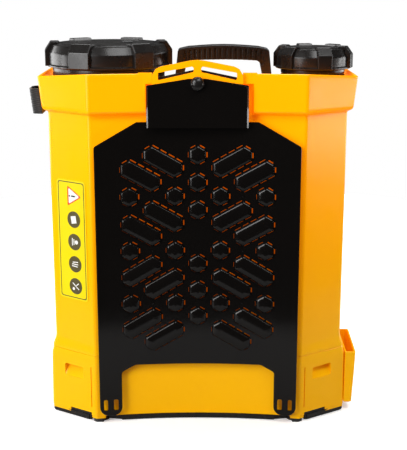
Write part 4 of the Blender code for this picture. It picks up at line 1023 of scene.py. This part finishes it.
def make_gauge():
    """The charge gauge: a framed dark lens over a row of lit bars."""
    face = PANEL_FACE_Y + 0.3
    rim = rounded((GAUGE_X - 15, PANEL_MID_Z - 11), (GAUGE_X + 15, PANEL_MID_Z + 11), 2.5, 5)
    body = soften(prism(rim, face, face + 2.0, "Y"), 0.7, 3, 60, on_face(face + 1.9))
    body = fuse(body, panel_box(GAUGE_X, 12, 8, PANEL_Y - 9, face + 0.5))
    stand_in("charge_gauge", cut(body, panel_box(GAUGE_X, 12, 8, face + 1.5, face + 4)))
    for i in range(4):
        x = GAUGE_X + 7.8 - 5.2 * i
        bar = box((x - 1.9, face + 1.3, PANEL_MID_Z - 4.5), (x + 1.9, face + 1.62, PANEL_MID_Z + 3.8 - 1.6 * i))
        piece(f"gauge_bar_{i + 1}", soften(bar, 0.1, 1), "lens", material=print_green)


def make_dial():
    """The speed dial: a fluted knob on a skirt, with a white pointer."""
    face = PANEL_FACE_Y + 0.3
    knob = turned([(0, face), (12.4, face), (13, face + 0.5), (13, face + 1.4), (12.5, face + 2.0),
                   (10.9, face + 2.7), (10.5, face + 3.2), (9.9, 112.6), (9.5, 113.4), (8.7, 113.8), (7.5, 114.0),
                   (6.6, 113.5), (0, 113.5)], (DIAL_X, 0, PANEL_MID_Z), "Y", 96)
    flutes = []
    for turn in [math.radians(a) for a in range(20, 350, 20)]:
        place = DIAL_X + 11.6 * math.sin(turn), PANEL_MID_Z + 11.6 * math.cos(turn)
        flutes.append(prism(circle(*place, 1.7, 16), face + 3.0, 116, "Y"))
    stand_in("speed_dial", cut(knob, join(*flutes)), "dial")
    pointer = box((DIAL_X - 0.7, 112.9, PANEL_MID_Z + 2.5), (DIAL_X + 0.7, 113.8, PANEL_MID_Z + 9.2))
    piece("dial_pointer", soften(pointer, 0.2, 2), "white_plastic", "dial", material=print_white)


def make_outlet():
    """The brass outlet: a hexagon flange and a barbed tail for the spray hose."""
    y = REAR_Y
    tail = turned([(3.2, y - 14), (7.8, y - 14), (7.8, y + 3.3), (8.6, y + 3.3), (9.0, y + 3.7), (9.0, y + 7.2),
                   (8.6, y + 7.6), (5.6, y + 7.6), (5.6, y + 8.3), (7.0, y + 8.6), (5.9, y + 10.8), (6.9, y + 11.0),
                   (5.8, y + 13.0), (6.5, y + 13.2), (5.4, y + 15.0), (3.4, y + 15.0), (3.2, y + 14.8)],
                  (OUTLET_X, 0, OUTLET_Z), "Y", 64)
    flange = soften(prism(circle(OUTLET_X, OUTLET_Z, 10.4, 6), y + 3.35, y + 7.4, "Y"), 0.5, 2, 40)
    flange = cut(flange, prism(circle(OUTLET_X, OUTLET_Z, 5.0, 48), y, y + 12, "Y"))
    stand_in("hose_outlet", fuse(tail, flange))


def make_bottom_screws():
    profile = [(0, 1.6), (3.0, 1.6), (3.9, 2.3), (4.2, 3.2), (4.2, 4.6), (2.0, 4.6), (2.0, 16.0), (0, 16.0)]
    for i, place in enumerate(BOTTOM_SCREW_PLACES):
        screw = turned(profile, (*place, 0), steps=32)
        stand_in(f"bottom_screw_{i + 1}", cut(screw, prism(plus(*place, 2.4, 0.4), -1, 3.0)))


# ---------------- making order

make_tank()
make_handle()
make_caps()
make_strainer_screen()
make_back_plate()
make_strap_bracket()
make_knob()
make_base()
make_bottom_plate()
make_feet()
make_cup()
make_hose_loop()
make_label()
make_panel()
make_gauge()
make_dial()
make_outlet()
make_bottom_screws()
for node, width, segments, angle, body in (
        ("switch_frame", 0.6, 3, 30, "tank"), ("rocker_switch", 0.5, 3, 30, "rocker"),
        ("charging_socket", 0.4, 3, 30, "tank"), ("socket_cover", 0.4, 3, 30, "cover"),
        ("cover_anchor", 0.3, 3, 30, "tank"), ("battery_pack", 3.0, 4, 30, "tank"),
        ("battery_strap", 0.4, 3, 30, "tank"), ("pump_head", 1.2, 3, 30, "tank"),
        ("pump_motor", 1.0, 3, 30, "tank"), ("pressure_switch", 0.8, 3, 30, "tank"),
        ("strainer_basket", 0.4, 2, 25, "strainer")):
    refined(node, width, segments, angle, body)

# ---------------- floor, backdrop light and lamps

def make_floor():
    """A round pale table top. The camera sees it whiter than the light it throws back on the sprayer."""
    bm = bmesh.new()
    bm.faces.new(add_ring(bm, [(x * MM, y * MM, 0.0) for x, y in circle(0, 440, 900, 128)]))
    floor = new_object("floor", bm)
    look = plastic("pale_floor", (0.93, 0.93, 0.93), 0.6, shade=0.99, depth=0.00002)
    tree = look.node_tree
    shader = tree.nodes["Principled BSDF"]
    seen = add_node(tree, "LightPath").outputs["Is Camera Ray"]
    pale = shader.inputs["Base Color"].links[0].from_socket
    tree.links.new(mixed(tree, seen, (0.34, 0.34, 0.34), pale), shader.inputs["Base Color"])
    shader.inputs["Emission Color"].default_value = (1.0, 1.0, 1.0, 1.0)
    tree.links.new(product(tree, seen, 0.3), shader.inputs["Emission Strength"])
    floor.data.materials.append(look)


def area_light(name, place, target, size, power, colour=(1, 1, 1)):
    data = bpy.data.lights.new(name, "AREA")
    data.shape = "RECTANGLE"
    data.size, data.size_y = size
    data.energy = power
    data.color = colour
    lamp = bpy.data.objects.new(name, data)
    lamp.location = place
    lamp.rotation_euler = (Vector(target) - Vector(place)).to_track_quat("-Z", "Y").to_euler()
    bpy.context.scene.collection.objects.link(lamp)


def make_world():
    """White to the camera, and a dim room to everything else."""
    world = bpy.data.worlds.new("studio")
    bpy.context.scene.world = world
    world.use_nodes = True
    tree = world.node_tree
    tree.nodes.clear()
    path = add_node(tree, "LightPath")
    mix = add_node(tree, "MixShader", Fac=path.outputs["Is Camera Ray"])
    for socket, strength in ((mix.inputs[1], 0.05), (mix.inputs[2], 1.0)):
        shade = add_node(tree, "Background", Color=(1, 1, 1, 1), Strength=strength)
        tree.links.new(shade.outputs[0], socket)
    add_node(tree, "OutputWorld", Surface=mix.outputs[0])


make_floor()
make_world()
area_light("key_left", (-1.6, -1.45, 1.35), (0, 0, 0.25), (1.1, 1.1), 36)
area_light("front_top", (0.6, -1.3, 2.1), (0, 0, 0.25), (1.4, 0.8), 26)
area_light("overhead", (0.0, 0.9, 2.4), (0, 0.6, 0.0), (2.2, 1.4), 66)
area_light("strip_left", (-1.25, -1.15, 0.36), (-0.1, -0.1, 0.3), (0.6, 0.7), 9)
area_light("side_left", (-1.35, 0.7, 0.45), (0, 0, 0.25), (1.0, 0.8), 12)
area_light("side_right", (1.35, 0.7, 0.45), (0, 0, 0.25), (1.0, 0.8), 12)
area_light("edge_left", (-1.6, -0.05, 0.27), (-0.06, -0.1, 0.4), (0.28, 0.34), 3.5)
area_light("edge_right", (1.6, -0.02, 0.27), (0.06, -0.1, 0.4), (0.28, 0.34), 3.5)
area_light("box_right", (1.6, -0.39, 0.17), (0.155, -0.081, 0.36), (0.40, 0.15), 2.2, (1.0, 0.96, 0.94))
bpy.context.scene.view_settings.view_transform = "Standard"
